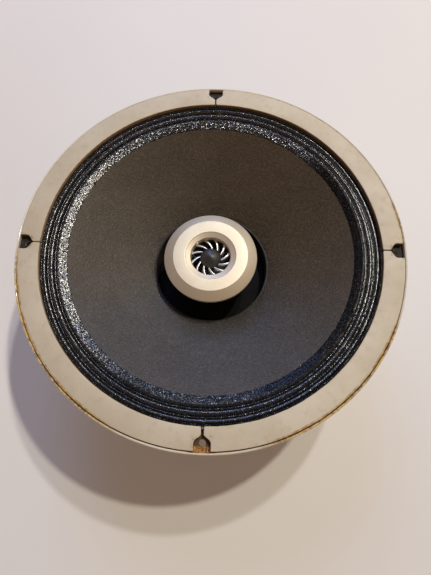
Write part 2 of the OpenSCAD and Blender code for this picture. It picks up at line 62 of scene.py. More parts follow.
# ------------------------------------------------------------------ shading
class Nodes:
    """small helper that builds a node tree"""
    def __init__(self, name, rough=0.5, metal=0.0, base=(0.5, 0.5, 0.5)):
        self.m = bpy.data.materials.new(name)
        self.m.use_nodes = True
        self.t = self.m.node_tree
        self.t.nodes.clear()
        self.out = self.t.nodes.new("ShaderNodeOutputMaterial")
        self.b = self.t.nodes.new("ShaderNodeBsdfPrincipled")
        self.t.links.new(self.b.outputs[0], self.out.inputs[0])
        self.set("Roughness", rough)
        self.set("Metallic", metal)
        self.set("Base Color", (*base, 1.0))
        self.co = None

    def set(self, name, value):
        sock = self.b.inputs[name]
        if isinstance(value, bpy.types.NodeSocket):
            self.t.links.new(value, sock)
        else:
            sock.default_value = value
        return self

    def node(self, kind, inputs=(), out=0, **props):
        n = self.t.nodes.new(kind)
        for k, v in props.items():
            setattr(n, k, v)
        for i, v in (inputs.items() if isinstance(inputs, dict) else enumerate(inputs)):
            if v is None:
                continue
            if isinstance(v, bpy.types.NodeSocket):
                self.t.links.new(v, n.inputs[i])
            else:
                n.inputs[i].default_value = v
        return n.outputs[out]

    def coord(self):
        if self.co is None:
            self.co = self.node("ShaderNodeTexCoord", out=3)
        return self.co

    def scaled(self, s, loc=(0, 0, 0), rot=(0, 0, 0), vec=None):
        n = self.t.nodes.new("ShaderNodeMapping")
        self.t.links.new(vec or self.coord(), n.inputs["Vector"])
        n.inputs["Scale"].default_value = s if hasattr(s, "__len__") else (s, s, s)
        n.inputs["Location"].default_value = loc
        n.inputs["Rotation"].default_value = rot
        return n.outputs[0]

    def noise(self, scale, detail=3.0, rough=0.5, dist=0.0, vec=None, color=False):
        n = self.t.nodes.new("ShaderNodeTexNoise")
        self.t.links.new(vec or self.coord(), n.inputs["Vector"])
        n.inputs["Scale"].default_value = scale
        n.inputs["Detail"].default_value = detail
        n.inputs["Roughness"].default_value = rough
        n.inputs["Distortion"].default_value = dist
        return n.outputs["Color" if color else "Fac"]

    def voronoi(self, scale, vec=None, feature="F1", out="Distance", randomness=1.0):
        n = self.t.nodes.new("ShaderNodeTexVoronoi")
        n.feature = feature
        self.t.links.new(vec or self.coord(), n.inputs["Vector"])
        n.inputs["Scale"].default_value = scale
        n.inputs["Randomness"].default_value = randomness
        return n.outputs[out]

    def math(self, op, a, b=0.0, c=None, clamp=False):
        n = self.t.nodes.new("ShaderNodeMath")
        n.operation = op
        n.use_clamp = clamp
        for i, v in enumerate((a, b, c)):
            if v is None:
                continue
            if isinstance(v, bpy.types.NodeSocket):
                self.t.links.new(v, n.inputs[i])
            else:
                n.inputs[i].default_value = v
        return n.outputs[0]

    def ramp(self, fac, *stops, mode="LINEAR"):
        """stops: (position, value or colour)"""
        n = self.t.nodes.new("ShaderNodeValToRGB")
        n.color_ramp.interpolation = mode
        e = n.color_ramp.elements
        while len(e) < len(stops):
            e.new(0.5)
        for i, (p, c) in enumerate(stops):
            e[i].position = p
            e[i].color = (c, c, c, 1) if not hasattr(c, "__len__") else (*c, 1)
        self.t.links.new(fac, n.inputs[0])
        return n.outputs[0]

    def smooth(self, x, lo, hi):
        """0 below lo, 1 above hi"""
        n = self.t.nodes.new("ShaderNodeMapRange")
        n.interpolation_type = "SMOOTHSTEP"
        self.t.links.new(x, n.inputs[0])
        n.inputs[1].default_value = lo
        n.inputs[2].default_value = hi
        return n.outputs[0]

    def mix(self, fac, a, b, blend="MIX"):
        n = self.t.nodes.new("ShaderNodeMix")
        n.data_type = "RGBA"
        n.blend_type = blend
        for i, v in ((0, fac), (6, a), (7, b)):
            if isinstance(v, bpy.types.NodeSocket):
                self.t.links.new(v, n.inputs[i])
            else:
                n.inputs[i].default_value = v if i == 0 else (*v, 1.0)
        return n.outputs[2]

    def xyz(self, vec=None):
        n = self.t.nodes.new("ShaderNodeSeparateXYZ")
        self.t.links.new(vec or self.coord(), n.inputs[0])
        return n.outputs

    def polar(self):
        """radius, angle and height in millimetres, degrees, millimetres"""
        x, y, z = self.xyz()[:3]
        r = self.math("SQRT", self.math("ADD", self.math("MULTIPLY", x, x), self.math("MULTIPLY", y, y)))
        a = self.math("ARCTAN2", y, x)
        return self.math("MULTIPLY", r, 1000.0), self.math("MULTIPLY", a, 57.29578), self.math("MULTIPLY", z, 1000.0)

    def vec3(self, x, y, z):
        n = self.t.nodes.new("ShaderNodeCombineXYZ")
        for i, v in enumerate((x, y, z)):
            if isinstance(v, bpy.types.NodeSocket):
                self.t.links.new(v, n.inputs[i])
            else:
                n.inputs[i].default_value = v
        return n.outputs[0]

    def bump(self, height, strength=0.5, distance=0.0005, normal=None):
        n = self.t.nodes.new("ShaderNodeBump")
        n.inputs["Strength"].default_value = strength
        n.inputs["Distance"].default_value = distance
        self.t.links.new(height, n.inputs["Height"])
        if normal is not None:
            self.t.links.new(normal, n.inputs["Normal"])
        self.set("Normal", n.outputs[0])
        return n.outputs[0]


def srgb(*c):
    return tuple((x / 255 / 12.92 if x <= 10 else ((x / 255 + 0.055) / 1.055) ** 2.4) for x in c)
# ------------------------------------------------------------------ meshes
def finish_mesh(name, verts, faces, mat, body=None, replaces=(), sharp=40, smooth=True, slot=None):
    """verts in millimetres"""
    me = bpy.data.meshes.new(name)
    me.from_pydata((np.asarray(verts, float) * MM).tolist(), [], faces)
    me.validate()
    bm = bmesh.new()
    bm.from_mesh(me)
    bmesh.ops.remove_doubles(bm, verts=bm.verts, dist=1e-7)
    slits = [e for e in bm.edges if len(e.link_faces) == 1]
    if 0 < len(slits) < 40:
        bmesh.ops.holes_fill(bm, edges=slits, sides=8)
    bmesh.ops.recalc_face_normals(bm, faces=bm.faces)
    lim = math.radians(sharp)
    for e in bm.edges:
        e.smooth = not (len(e.link_faces) == 2 and e.calc_face_angle(0) > lim)
    for f in bm.faces:
        f.smooth = smooth
    bm.to_mesh(me)
    bm.free()
    o = bpy.data.objects.new(name, me)
    bpy.context.scene.collection.objects.link(o)
    if mat is not None:
        me.materials.append(mat)
    if body:
        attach(o, body)
    if replaces:
        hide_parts(*replaces)
    return o


def lathe_data(prof, seg=256, closed=True, a0=0.0, a1=360.0, shape=None):
    """turns a list of (r, z) about Z; shape(r, z, angle array) may return moved r and z"""
    prof = [(float(r), float(z)) for r, z in prof]
    full = abs(a1 - a0 - 360) < 1e-6
    n = seg if full else seg + 1
    ang = np.radians(a0 + (a1 - a0) * np.arange(n) / seg)
    verts, idx = [], []
    for r, z in prof:
        if r < 1e-6 and full:
            idx.append([len(verts)] * n)
            verts.append((0, 0, z))
            continue
        rr, zz = (np.full(n, r), np.full(n, z))
        if shape is not None:
            rr, zz = shape(rr, zz, ang)
        idx.append(list(range(len(verts), len(verts) + n)))
        verts.extend(zip(rr * np.cos(ang), rr * np.sin(ang), zz))
    faces = []
    m = len(prof)
    for i in range(m if closed else m - 1):
        p, q = idx[i], idx[(i + 1) % m]
        for j in range(n if full else n - 1):
            k = (j + 1) % n
            f = [p[j], p[k], q[k], q[j]]
            g = []
            for v in f:
                if v not in g:
                    g.append(v)
            if len(g) >= 3:
                faces.append(g)
    if not full and closed:
        faces.append([p[0] for p in idx][::-1])
        faces.append([p[-1] for p in idx])
    return verts, faces


def fillet(pts, rad, n=4, closed=True):
    """rounds the corners of a polygon; rad is one radius or one for each corner"""
    out = []
    m = len(pts)
    for i in range(m):
        p = np.array(pts[i], float)
        r = rad[i] if hasattr(rad, "__len__") else rad
        if r <= 0 or (not closed and i in (0, m - 1)):
            out.append(tuple(p))
            continue
        a, b = np.array(pts[i - 1], float), np.array(pts[(i + 1) % m], float)
        u, v = a - p, b - p
        lu, lv = np.linalg.norm(u), np.linalg.norm(v)
        if lu < 1e-9 or lv < 1e-9:
            out.append(tuple(p))
            continue
        u, v = u / lu, v / lv
        c = float(np.clip(np.dot(u, v), -1, 1))
        th = math.acos(c)
        if th > math.pi - 0.03:
            out.append(tuple(p))
            continue
        d = min(r / math.tan(th / 2), 0.49 * lu, 0.49 * lv)
        rr = d * math.tan(th / 2)
        ctr = p + (u + v) / np.linalg.norm(u + v) * (rr / math.sin(th / 2))
        s, e = p + u * d - ctr, p + v * d - ctr
        a0, a1 = math.atan2(s[1], s[0]), math.atan2(e[1], e[0])
        da = (a1 - a0 + math.pi) % (2 * math.pi) - math.pi
        for k in range(n + 1):
            t = a0 + da * k / n
            out.append((ctr[0] + rr * math.cos(t), ctr[1] + rr * math.sin(t)))
    return out


def lathe(name, prof, mat, body, replaces=(), seg=256, rad=0.0, n=3, closed=True, **kw):
    if rad is not None and (hasattr(rad, "__len__") or rad > 0):
        prof = fillet(prof, rad, n, closed)
    v, f = lathe_data(prof, seg, closed, **{k: kw.pop(k) for k in ("a0", "a1", "shape") if k in kw})
    return finish_mesh(name, v, f, mat, body, replaces, **kw)


def modify(o, kind, **props):
    md = o.modifiers.new(kind.lower(), kind)
    for k, v in props.items():
        setattr(md, k, v)
    return md

# ------------------------------------------------------------------ finishes
def rust_mask(n, scale=900, thresh=0.55, soft=0.08):
    return n.smooth(n.noise(scale, 5, 0.62, 0.4), thresh, thresh + soft)


def angle_band(n, a, centre, half, soft):
    """1 near an angle in degrees, falling to 0 beyond it"""
    d = n.math("ABSOLUTE", n.math("SUBTRACT", a, centre))
    d = n.math("MINIMUM", d, n.math("SUBTRACT", 360.0, d))
    return n.math("SUBTRACT", 1.0, n.smooth(d, half, half + soft))


def make_cream_paint():
    n = Nodes("cream_paint", 0.42)
    r, a, z = n.polar()
    blotch = n.noise(18, 4, 0.6)
    fine = n.noise(220, 3, 0.6)
    col = n.mix(n.smooth(blotch, 0.35, 0.7), srgb(219, 209, 190), srgb(200, 186, 161))
    col = n.mix(n.math("MULTIPLY", n.smooth(fine, 0.55, 0.75), 0.3), col, srgb(170, 150, 118))
    chips = n.noise(420, 5, 0.7, 0.5)
    big = n.noise(75, 3, 0.6)
    # golden stain along the inside of the rim, in two arcs of the lower half and beside the right hole
    arcs = n.math("MAXIMUM", n.math("MAXIMUM", angle_band(n, a, -146, 21, 18), angle_band(n, a, -47, 20, 11)),
                  n.math("MULTIPLY", angle_band(n, a, 9, 4, 6), 0.8))
    inner_rim = n.math("MULTIPLY", n.smooth(r, 152.6, 153.0), n.math("SUBTRACT", 1.0, n.math("MULTIPLY", n.smooth(r, 153.7, 155.2), 0.75)))
    gold = n.math("MULTIPLY", n.math("MULTIPLY", inner_rim, arcs), n.smooth(n.math("ADD", big, n.math("MULTIPLY", chips, 0.5)), 0.46, 0.68))
    col = n.mix(n.math("MULTIPLY", gold, 0.9), col, n.mix(n.smooth(n.noise(260, 3, 0.6), 0.46, 0.60), srgb(206, 168, 78), srgb(112, 70, 26)))
    # a few small chips on the rim's edge
    rim = n.smooth(r, 153.0, 154.2)
    chip = n.math("MULTIPLY", n.smooth(n.math("ADD", chips, n.math("MULTIPLY", arcs, 0.05)), 0.70, 0.74), rim)
    chip = n.math("MULTIPLY", chip, n.smooth(big, 0.45, 0.6))
    col = n.mix(n.math("MULTIPLY", chip, 0.85), col, srgb(104, 66, 34))
    # bare flange under the gasket, seen in the notches: at the bottom one golden, with mottled brown round the hole;
    # very dark brown in the other three
    seat = n.math("MULTIPLY", n.smooth(z, 114.2, 114.8), n.smooth(r, 138.6, 139.6))
    seat = n.math("MULTIPLY", seat, n.math("SUBTRACT", 1.0, n.math("MULTIPLY", n.smooth(r, 152.9, 153.2), n.smooth(z, 115.4, 116.0))))
    seat = n.math("MULTIPLY", seat, n.math("SUBTRACT", 1.0, n.smooth(r, 153.3, 153.5)))
    bottom = angle_band(n, a, -90, 3.2, 1.2)
    bottom_rim = n.math("MULTIPLY", n.math("MULTIPLY", bottom, n.smooth(r, 151.8, 152.6)), n.math("SUBTRACT", 1.0, n.smooth(r, 153.6, 154.0)))
    spots = n.noise(700, 4, 0.65)
    golden = n.mix(n.smooth(spots, 0.38, 0.66), srgb(104, 60, 22), srgb(206, 148, 66))
    darkb = n.mix(n.smooth(spots, 0.45, 0.72), srgb(20, 12, 7), srgb(62, 40, 23))
    near_hole = n.math("SUBTRACT", 1.0, n.smooth(r, 148.4, 150.2))
    seat_col = n.mix(bottom, darkb, n.mix(near_hole, golden, n.mix(spots, srgb(48, 32, 19), srgb(112, 84, 56))))
    col = n.mix(seat, col, seat_col)
    col = n.mix(n.math("MULTIPLY", bottom_rim, 0.9), col, golden)
    n.set("Base Color", col)
    rust = n.math("MAXIMUM", n.math("MAXIMUM", chip, seat), n.math("MULTIPLY", gold, 0.6))
    n.set("Roughness", n.math("ADD", 0.36, n.math("ADD", n.math("MULTIPLY", rust, 0.3), n.math("MULTIPLY", n.noise(60, 3), 0.18))))
    h = n.math("ADD", n.math("MULTIPLY", n.noise(300, 3, 0.5), 0.25), n.math("MULTIPLY", rust, n.math("SUBTRACT", n.noise(1500, 3, 0.7), 1.0)))
    n.bump(h, 0.35, 0.0003)
    n.set("Coat Weight", 0.15)
    return n.m


def make_gasket():
    n = Nodes("gasket_fibre", 0.55)
    r, a, z = n.polar()
    grime = n.noise(26, 5, 0.62)
    fine = n.noise(160, 4, 0.65)
    speck = n.voronoi(260)
    col = n.mix(n.smooth(grime, 0.3, 0.72), srgb(204, 193, 172), srgb(191, 178, 154))
    col = n.mix(n.math("MULTIPLY", n.smooth(fine, 0.5, 0.8), 0.35), col, srgb(160, 143, 114))
    # painted light: the face is painted darker on the left and lighter on the right, as the lamps fall from the right
    gx = n.xyz()[0]
    col = n.mix(n.smooth(gx, -0.16, 0.10), n.mix(1.0, col, (0.95, 0.935, 0.91), "MULTIPLY"), n.mix(1.0, col, (1.03, 1.02, 0.985), "MULTIPLY"))
    # small brown specks
    sp = n.math("MULTIPLY", n.math("SUBTRACT", 1.0, n.smooth(speck, 0.03, 0.10)), n.smooth(n.noise(40, 2), 0.52, 0.62))
    col = n.mix(n.math("MULTIPLY", sp, 0.6), col, srgb(120, 92, 62))
    # browned outer edge, most of all in two arcs of the lower half
    arcs = n.math("MAXIMUM", n.math("MAXIMUM", angle_band(n, a, -146, 21, 18), angle_band(n, a, -47, 20, 11)), n.math("MULTIPLY", angle_band(n, a, 9, 4, 6), 0.8))
    edge = n.smooth(n.math("ADD", r, n.math("MULTIPLY", arcs, n.math("MULTIPLY", n.noise(60, 3), 1.6))), 151.5, 152.5)
    worn = n.math("MULTIPLY", edge, n.smooth(n.math("ADD", n.noise(90, 5, 0.7), n.math("MULTIPLY", arcs, 0.20)), 0.52, 0.68))
    col = n.mix(n.math("MULTIPLY", worn, n.math("ADD", 0.2, n.math("MULTIPLY", arcs, 0.6))), col, n.mix(n.smooth(n.noise(300, 3), 0.4, 0.6), srgb(140, 100, 44), srgb(190, 158, 92)))
    # cut sides show the board and its plies; painted lighter on the left, where the lamps light the rounded inner edge,
    # and painted dark at the foot as shade
    side = n.math("SUBTRACT", 1.0, n.smooth(z, 119.15, 119.7))
    ply = n.noise(1.0, 3, 0.6, vec=n.scaled((120, 120, 2600)))
    left = angle_band(n, a, 180, 45, 50)
    fibre = n.mix(n.smooth(ply, 0.35, 0.65), srgb(84, 60, 36), srgb(132, 102, 68))
    fibre = n.mix(n.math("MULTIPLY", left, 0.7), fibre, srgb(184, 162, 128))
    outside = n.smooth(r, 150.0, 152.0)
    fibre = n.mix(n.math("MULTIPLY", outside, 0.75), fibre, srgb(186, 168, 134))
    foot = n.math("SUBTRACT", 1.0, n.smooth(n.math("ADD", z, n.math("MULTIPLY", n.noise(220, 3), 1.2)), 116.6, 118.2))
    fibre = n.mix(n.math("MULTIPLY", foot, n.math("SUBTRACT", 1.0, outside)), fibre, srgb(36, 24, 14))
    # the sides of the notches are painted dark, as shade inside the notches
    notch = n.math("MULTIPLY", n.smooth(r, 141.0, 142.0), n.math("SUBTRACT", 1.0, n.smooth(r, 152.2, 152.5)))
    fibre = n.mix(n.math("MULTIPLY", notch, 0.85), fibre, n.mix(n.noise(500, 3), srgb(30, 18, 10), srgb(90, 62, 36)))
    col = n.mix(side, col, fibre)
    # stain round the notches on the face
    for q, amount in ((0, 0.5), (90, 0.45), (180, 0.6), (-90, 0.8)):
        near = n.math("MULTIPLY", angle_band(n, a, q, 2.1, 1.3), n.smooth(r, 140.5, 143.0))
        col = n.mix(n.math("MULTIPLY", n.math("MULTIPLY", near, n.smooth(n.noise(210, 4, 0.65), 0.46, 0.66)), amount), col, srgb(134, 104, 66))
    n.set("Base Color", col)
    n.set("Roughness", n.math("ADD", 0.48, n.math("ADD", n.math("MULTIPLY", side, 0.3), n.math("MULTIPLY", fine, 0.2))))
    h = n.math("ADD", n.math("MULTIPLY", n.noise(90, 4, 0.6), 0.6), n.math("MULTIPLY", n.noise(900, 4, 0.7), n.math("ADD", 0.15, n.math("MULTIPLY", side, 0.8))))
    n.bump(h, 0.3, 0.0004)
    return n.m


def flakes(n, scale, a):
    """hardened drops of dope, each with a facet of its own: returns height in metres, and a number for each drop"""
    vo = n.t.nodes.new("ShaderNodeTexVoronoi")
    n.t.links.new(n.coord(), vo.inputs["Vector"])
    vo.inputs["Scale"].default_value = scale
    def vec(op, p, q):
        v = n.t.nodes.new("ShaderNodeVectorMath")
        v.operation = op
        for i, s in enumerate((p, q)):
            if isinstance(s, bpy.types.NodeSocket):
                n.t.links.new(s, v.inputs[i])
            else:
                v.inputs[i].default_value = s
        return v.outputs["Value" if op == "DOT_PRODUCT" else "Vector"]
    off = vec("SUBTRACT", n.coord(), vo.outputs["Position"])
    rand = vec("SUBTRACT", vo.outputs["Color"], (0.5, 0.5, 0.5))
    left = angle_band(n, a, 175, 24, 40)
    calm = n.math("ADD", n.math("MULTIPLY", angle_band(n, a, -12, 42, 30), 0.72), n.math("MULTIPLY", angle_band(n, a, -90, 30, 26), 0.35))
    gain = n.math("SUBTRACT", 1.0, n.math("MINIMUM", n.math("ADD", n.math("MULTIPLY", left, 0.5), calm), 0.85))
    tilt = n.math("MULTIPLY", vec("DOT_PRODUCT", off, rand), gain)
    number = n.xyz(vo.outputs["Color"])[2]
    return tilt, number, left


def make_doped_cloth():
    n = Nodes("doped_cloth", 0.24, base=(0.006, 0.006, 0.0065))
    r, a, z = n.polar()
    x, y, zz = n.xyz()[:3]
    # plain weave laid square across the whole ring, filled with dope
    pitch = math.pi / 0.00145
    wx = n.math("ABSOLUTE", n.math("SINE", n.math("MULTIPLY", x, pitch)))
    wy = n.math("ABSOLUTE", n.math("SINE", n.math("MULTIPLY", y, pitch)))
    weave = n.math("MULTIPLY", wx, wy)
    lumps = n.noise(900, 2, 0.6)
    lumps2 = n.noise(300, 3, 0.6)
    coarse = n.smooth(n.noise(480, 3, 0.6), 0.50, 0.62)      # patches where the threads stand out of the dope
    band = n.math("SUBTRACT", 1.0, n.smooth(n.math("ADD", r, n.math("MULTIPLY", n.noise(260, 2), 1.4)), 121.8, 122.8))
    cloth = n.math("ADD", n.math("MULTIPLY", weave, n.math("ADD", 0.10, n.math("MULTIPLY", coarse, 0.30))), n.math("ADD", n.math("MULTIPLY", lumps, 0.18), n.math("MULTIPLY", lumps2, 0.3)))
    tilt, number, left = flakes(n, 1550, a)
    h = n.math("ADD", n.math("MULTIPLY", cloth, 0.00021), n.math("MULTIPLY", tilt, n.math("ADD", 0.10, n.math("MULTIPLY", band, 0.72))))
    n.bump(h, 1.0, 1.0)
    # how many of the drops shine: many on the left, few on the right and at the bottom, as painted highlight where the
    # lamps glint
    right_painted_shade = angle_band(n, a, -8, 42, 26)
    bottom_painted_light = angle_band(n, a, -90, 28, 26)
    part = n.math("SUBTRACT", n.math("ADD", 0.14, n.math("MULTIPLY", left, 0.27)), n.math("ADD", n.math("MULTIPLY", right_painted_shade, 0.14), n.math("MULTIPLY", bottom_painted_light, 0.07)))
    part = n.math("ADD", n.math("MULTIPLY", part, band), n.math("MULTIPLY", n.math("SUBTRACT", 1.0, band), 0.07))
    shine = n.math("LESS_THAN", number, part)
    dust = n.smooth(n.noise(55, 4, 0.6), 0.5, 0.75)
    col = n.mix(n.math("MULTIPLY", dust, 0.3), (0.0045, 0.0045, 0.0052), (0.015, 0.014, 0.013))
    # brown dust caught against the gasket
    caught = n.math("MULTIPLY", n.smooth(r, 134.6, 136.2), n.math("SUBTRACT", 1.0, n.smooth(r, 137.5, 138.0)))
    col = n.mix(n.math("MULTIPLY", caught, 0.35), col, (0.05, 0.032, 0.018))
    # painted highlight and reflection: shining drops are coloured lighter on the left, a little less at the lower left,
    # and bluish at the bottom
    painted_glint_colour = n.mix(band, (0.20, 0.195, 0.185), n.mix(left, (0.215, 0.21, 0.195), (0.30, 0.29, 0.265)))
    painted_glint_colour = n.mix(angle_band(n, a, -158, 22, 18), painted_glint_colour, (0.27, 0.262, 0.238))
    # painted shade: on the right and at the bottom the flat band is made darker and less reflective, with a painted
    # bluish window reflection at the bottom
    dull = n.math("MULTIPLY", band, n.math("MINIMUM", n.math("ADD", n.math("MULTIPLY", right_painted_shade, 1.0), n.math("MULTIPLY", bottom_painted_light, 0.75)), 1.0))
    col = n.mix(dull, col, n.mix(n.smooth(n.noise(1300, 2, 0.6), 0.44, 0.66), n.mix(bottom_painted_light, (0.0050, 0.0046, 0.0042), (0.0045, 0.0050, 0.0062)), n.mix(bottom_painted_light, (0.044, 0.038, 0.032), (0.046, 0.050, 0.060))))
    col = n.mix(shine, col, n.mix(bottom_painted_light, painted_glint_colour, (0.16, 0.19, 0.27)))
    n.set("Base Color", col)
    n.set("Metallic", n.math("MAXIMUM", shine, dull))
    n.set("Roughness", n.math("ADD", n.math("ADD", 0.14, n.math("MULTIPLY", dull, 0.16)), n.math("ADD", n.math("MULTIPLY", shine, 0.15), n.math("MULTIPLY", n.noise(330, 3, 0.6), 0.13))))
    n.set("Specular IOR Level", 0.8)
    return n.m


def make_cone_paper():
    n = Nodes("cone_paper", 0.62)
    r, a, z = n.polar()
    mott = n.noise(30, 5, 0.68)
    mott2 = n.noise(95, 4, 0.6)
    fine = n.noise(620, 4, 0.7)
    fibre = n.noise(1.0, 3, 0.6, 0.6, vec=n.scaled((1500, 380, 420)))
    fibre2 = n.noise(1.0, 3, 0.6, 0.6, vec=n.scaled((380, 1500, 500), rot=(0, 0, 0.2)))
    col = n.mix(n.smooth(mott, 0.32, 0.7), (0.047, 0.0345, 0.0215), (0.060, 0.044, 0.028))
    col = n.mix(n.math("MULTIPLY", n.smooth(mott2, 0.4, 0.7), 0.4), col, (0.044, 0.033, 0.022))
    fib = n.math("MAXIMUM", fibre, fibre2)
    col = n.mix(n.math("MULTIPLY", n.smooth(fib, 0.52, 0.74), 0.65), col, (0.115, 0.086, 0.058))
    col = n.mix(n.math("MULTIPLY", n.smooth(fine, 0.58, 0.72), 0.45), col, (0.030, 0.024, 0.018))
    grainy = n.noise(330, 3, 0.6)
    col = n.mix(n.math("MULTIPLY", n.smooth(grainy, 0.40, 0.62), 0.5), col, n.mix(1.0, col, (0.76, 0.76, 0.76), "MULTIPLY"))
    felt = n.noise(760, 3, 0.65)
    col = n.mix(n.smooth(felt, 0.36, 0.64), n.mix(1.0, col, (0.72, 0.71, 0.70), "MULTIPLY"), n.mix(1.0, col, (1.42, 1.38, 1.28), "MULTIPLY"))
    neck = n.math("SUBTRACT", 1.0, n.smooth(n.math("ADD", r, n.math("MULTIPLY", n.noise(120, 3), 4.0)), 51.0, 56.5))
    col = n.mix(n.math("MULTIPLY", neck, 0.6), col, (0.026, 0.020, 0.016))
    # dope from the edge runs a little onto the paper
    smear = n.smooth(n.math("ADD", r, n.math("MULTIPLY", n.math("SUBTRACT", n.noise(420, 4, 0.65), 0.5), 3.2)), 114.6, 115.2)
    col = n.mix(smear, col, (0.006, 0.006, 0.0065))
    h = n.math("ADD", n.math("MULTIPLY", fine, 0.8), n.math("ADD", n.math("MULTIPLY", fibre, 0.6), n.math("MULTIPLY", fibre2, 0.6)))
    h = n.math("ADD", h, n.math("MULTIPLY", smear, n.math("MULTIPLY", n.voronoi(760), 1.6)))
    n.bump(h, 0.55, 0.0005)
    # painted highlight: more drops of the dope smear shine on the left, where the lamps glint
    tilt, number, left = flakes(n, 1550, a)
    shine = n.math("MULTIPLY", smear, n.math("LESS_THAN", number, n.math("ADD", 0.05, n.math("MULTIPLY", left, 0.13))))
    n.set("Metallic", shine)
    # painted light: a bluish window reflection towards the bottom and a warmer lamp tint on the right
    bottom_painted_light = angle_band(n, a, -90, 45, 45)
    warm_lamp_side = angle_band(n, a, 20, 50, 50)
    col = n.mix(bottom_painted_light, col, n.mix(1.0, col, (0.90, 1.09, 1.62), "MULTIPLY"))
    col = n.mix(warm_lamp_side, col, n.mix(1.0, col, (1.0, 0.95, 0.80), "MULTIPLY"))
    n.set("Base Color", n.mix(shine, col, (0.28, 0.27, 0.25)))
    n.set("Roughness", n.math("SUBTRACT", n.math("ADD", 0.43, n.math("MULTIPLY", mott2, 0.14)), n.math("MULTIPLY", smear, 0.26)))
    n.set("Specular IOR Level", 0.5)
    return n.m


def make_turned(name, base, rough, lines=5200.0, strength=0.12, metal=1.0, dull=None, spots=0.0):
    """metal with fine turning lines round the axis"""
    n = Nodes(name, rough, metal, base)
    r, a, z = n.polar()
    d = n.math("ADD", r, n.math("MULTIPLY", z, 0.7))
    lines_h = n.noise(1.0, 2, 0.6, vec=n.vec3(n.math("MULTIPLY", d, lines / 1000.0), n.math("MULTIPLY", a, 0.004), 0.0))
    soft = n.noise(70, 3, 0.6)
    col = n.mix(n.smooth(soft, 0.3, 0.75), base, dull or tuple(c * 0.86 for c in base))
    if spots:
        sp = n.math("MULTIPLY", n.smooth(n.noise(420, 4, 0.7), 0.62, 0.7), spots)
        col = n.mix(sp, col, tuple(c * 0.55 for c in base))
    n.set("Base Color", col)
    n.set("Roughness", n.math("ADD", rough - 0.06, n.math("MULTIPLY", lines_h, 0.12)))
    n.bump(n.math("ADD", lines_h, n.math("MULTIPLY", n.noise(500, 3), 0.4)), strength, 0.0001)
    return n.m


def make_metal(name, base, rough, rust=0.0, grain=700, metal=1.0):
    n = Nodes(name, rough, metal, base)
    blot = n.noise(55, 4, 0.6)
    fine = n.noise(grain, 4, 0.65)
    col = n.mix(n.smooth(blot, 0.3, 0.72), base, tuple(c * 0.72 for c in base))
    rough_s = n.math("ADD", rough - 0.08, n.math("MULTIPLY", blot, 0.22))
    if rust:
        mask = n.math("MULTIPLY", n.smooth(n.noise(240, 5, 0.68, 0.4), 0.62 - rust * 0.2, 0.72), 0.9)
        col = n.mix(mask, col, n.mix(fine, srgb(66, 36, 18), srgb(150, 86, 40)))
        n.set("Metallic", n.math("SUBTRACT", metal, n.math("MULTIPLY", mask, metal)))
        rough_s = n.math("ADD", rough_s, n.math("MULTIPLY", mask, 0.4))
    n.set("Base Color", col)
    n.set("Roughness", rough_s)
    n.bump(fine, 0.12, 0.0002)
    return n.m


def make_plain(name, a, b, rough=0.6, scale=90, bump=0.2, grain=500, dist=0.0003, coat=0.0, sheen=0.0, spec=None):
    n = Nodes(name, rough, 0.0, a)
    n.set("Base Color", n.mix(n.smooth(n.noise(scale, 4, 0.62), 0.3, 0.72), a, b))
    n.set("Roughness", n.math("ADD", rough - 0.07, n.math("MULTIPLY", n.noise(scale * 2.3, 3), 0.14)))
    n.bump(n.noise(grain, 4, 0.7), bump, dist)
    if coat:
        n.set("Coat Weight", coat)
    if sheen:
        n.set("Sheen Weight", sheen)
    if spec is not None:
        n.set("Specular IOR Level", spec)
    return n.m


def make_weave(name, a, b, pitch_mm, rough=0.7, coat=0.0, depth=0.0003):
    """woven cloth with a square weave"""
    n = Nodes(name, rough, 0.0, a)
    x, y, z = n.xyz()[:3]
    k = math.pi / (pitch_mm * MM)
    sx, sy = n.math("SINE", n.math("MULTIPLY", x, k)), n.math("SINE", n.math("MULTIPLY", y, k))
    w = n.math("MULTIPLY", n.math("ABSOLUTE", sx), n.math("ABSOLUTE", sy))
    over = n.math("MULTIPLY", sx, sy)
    # painted shade: the gaps between the threads are coloured darker
    col = n.mix(n.smooth(w, 0.1, 0.6), tuple(c * 0.45 for c in a), a)
    col = n.mix(n.smooth(n.noise(60, 4, 0.6), 0.35, 0.7), col, b)
    n.set("Base Color", col)
    n.bump(n.math("ADD", w, n.math("MULTIPLY", over, 0.35)), 0.7, depth)
    if coat:
        n.set("Coat Weight", coat)
    return n.m


def make_winding(name, base, pitch_mm):
    """a coil of round wire, close wound"""
    n = Nodes(name, 0.28, 0.85, base)
    r, a, z = n.polar()
    h = n.math("ABSOLUTE", n.math("SINE", n.math("MULTIPLY", z, math.pi / pitch_mm)))
    # painted shade: the grooves between the turns of wire are coloured dark
    n.set("Base Color", n.mix(h, tuple(c * 0.25 for c in base), base))
    n.bump(h, 0.9, pitch_mm * MM * 0.5)
    n.set("Coat Weight", 0.5)
    return n.m


def make_nut():
    n = Nodes("dark_steel", 0.45, 0.85, (0.05, 0.042, 0.036))
    r, a, z = n.polar()
    thread = n.math("ABSOLUTE", n.math("SINE", n.math("MULTIPLY", z, math.pi / 0.8)))
    patch = n.noise(320, 4, 0.65)
    col = n.mix(n.smooth(patch, 0.42, 0.68), (0.060, 0.048, 0.040), srgb(88, 54, 28))
    n.set("Base Color", col)
    n.set("Metallic", n.math("SUBTRACT", 0.9, n.math("MULTIPLY", n.smooth(patch, 0.42, 0.68), 0.8)))
    n.bump(n.math("ADD", n.math("MULTIPLY", thread, 0.6), n.noise(900, 3, 0.6)), 0.5, 0.0003)
    return n.m


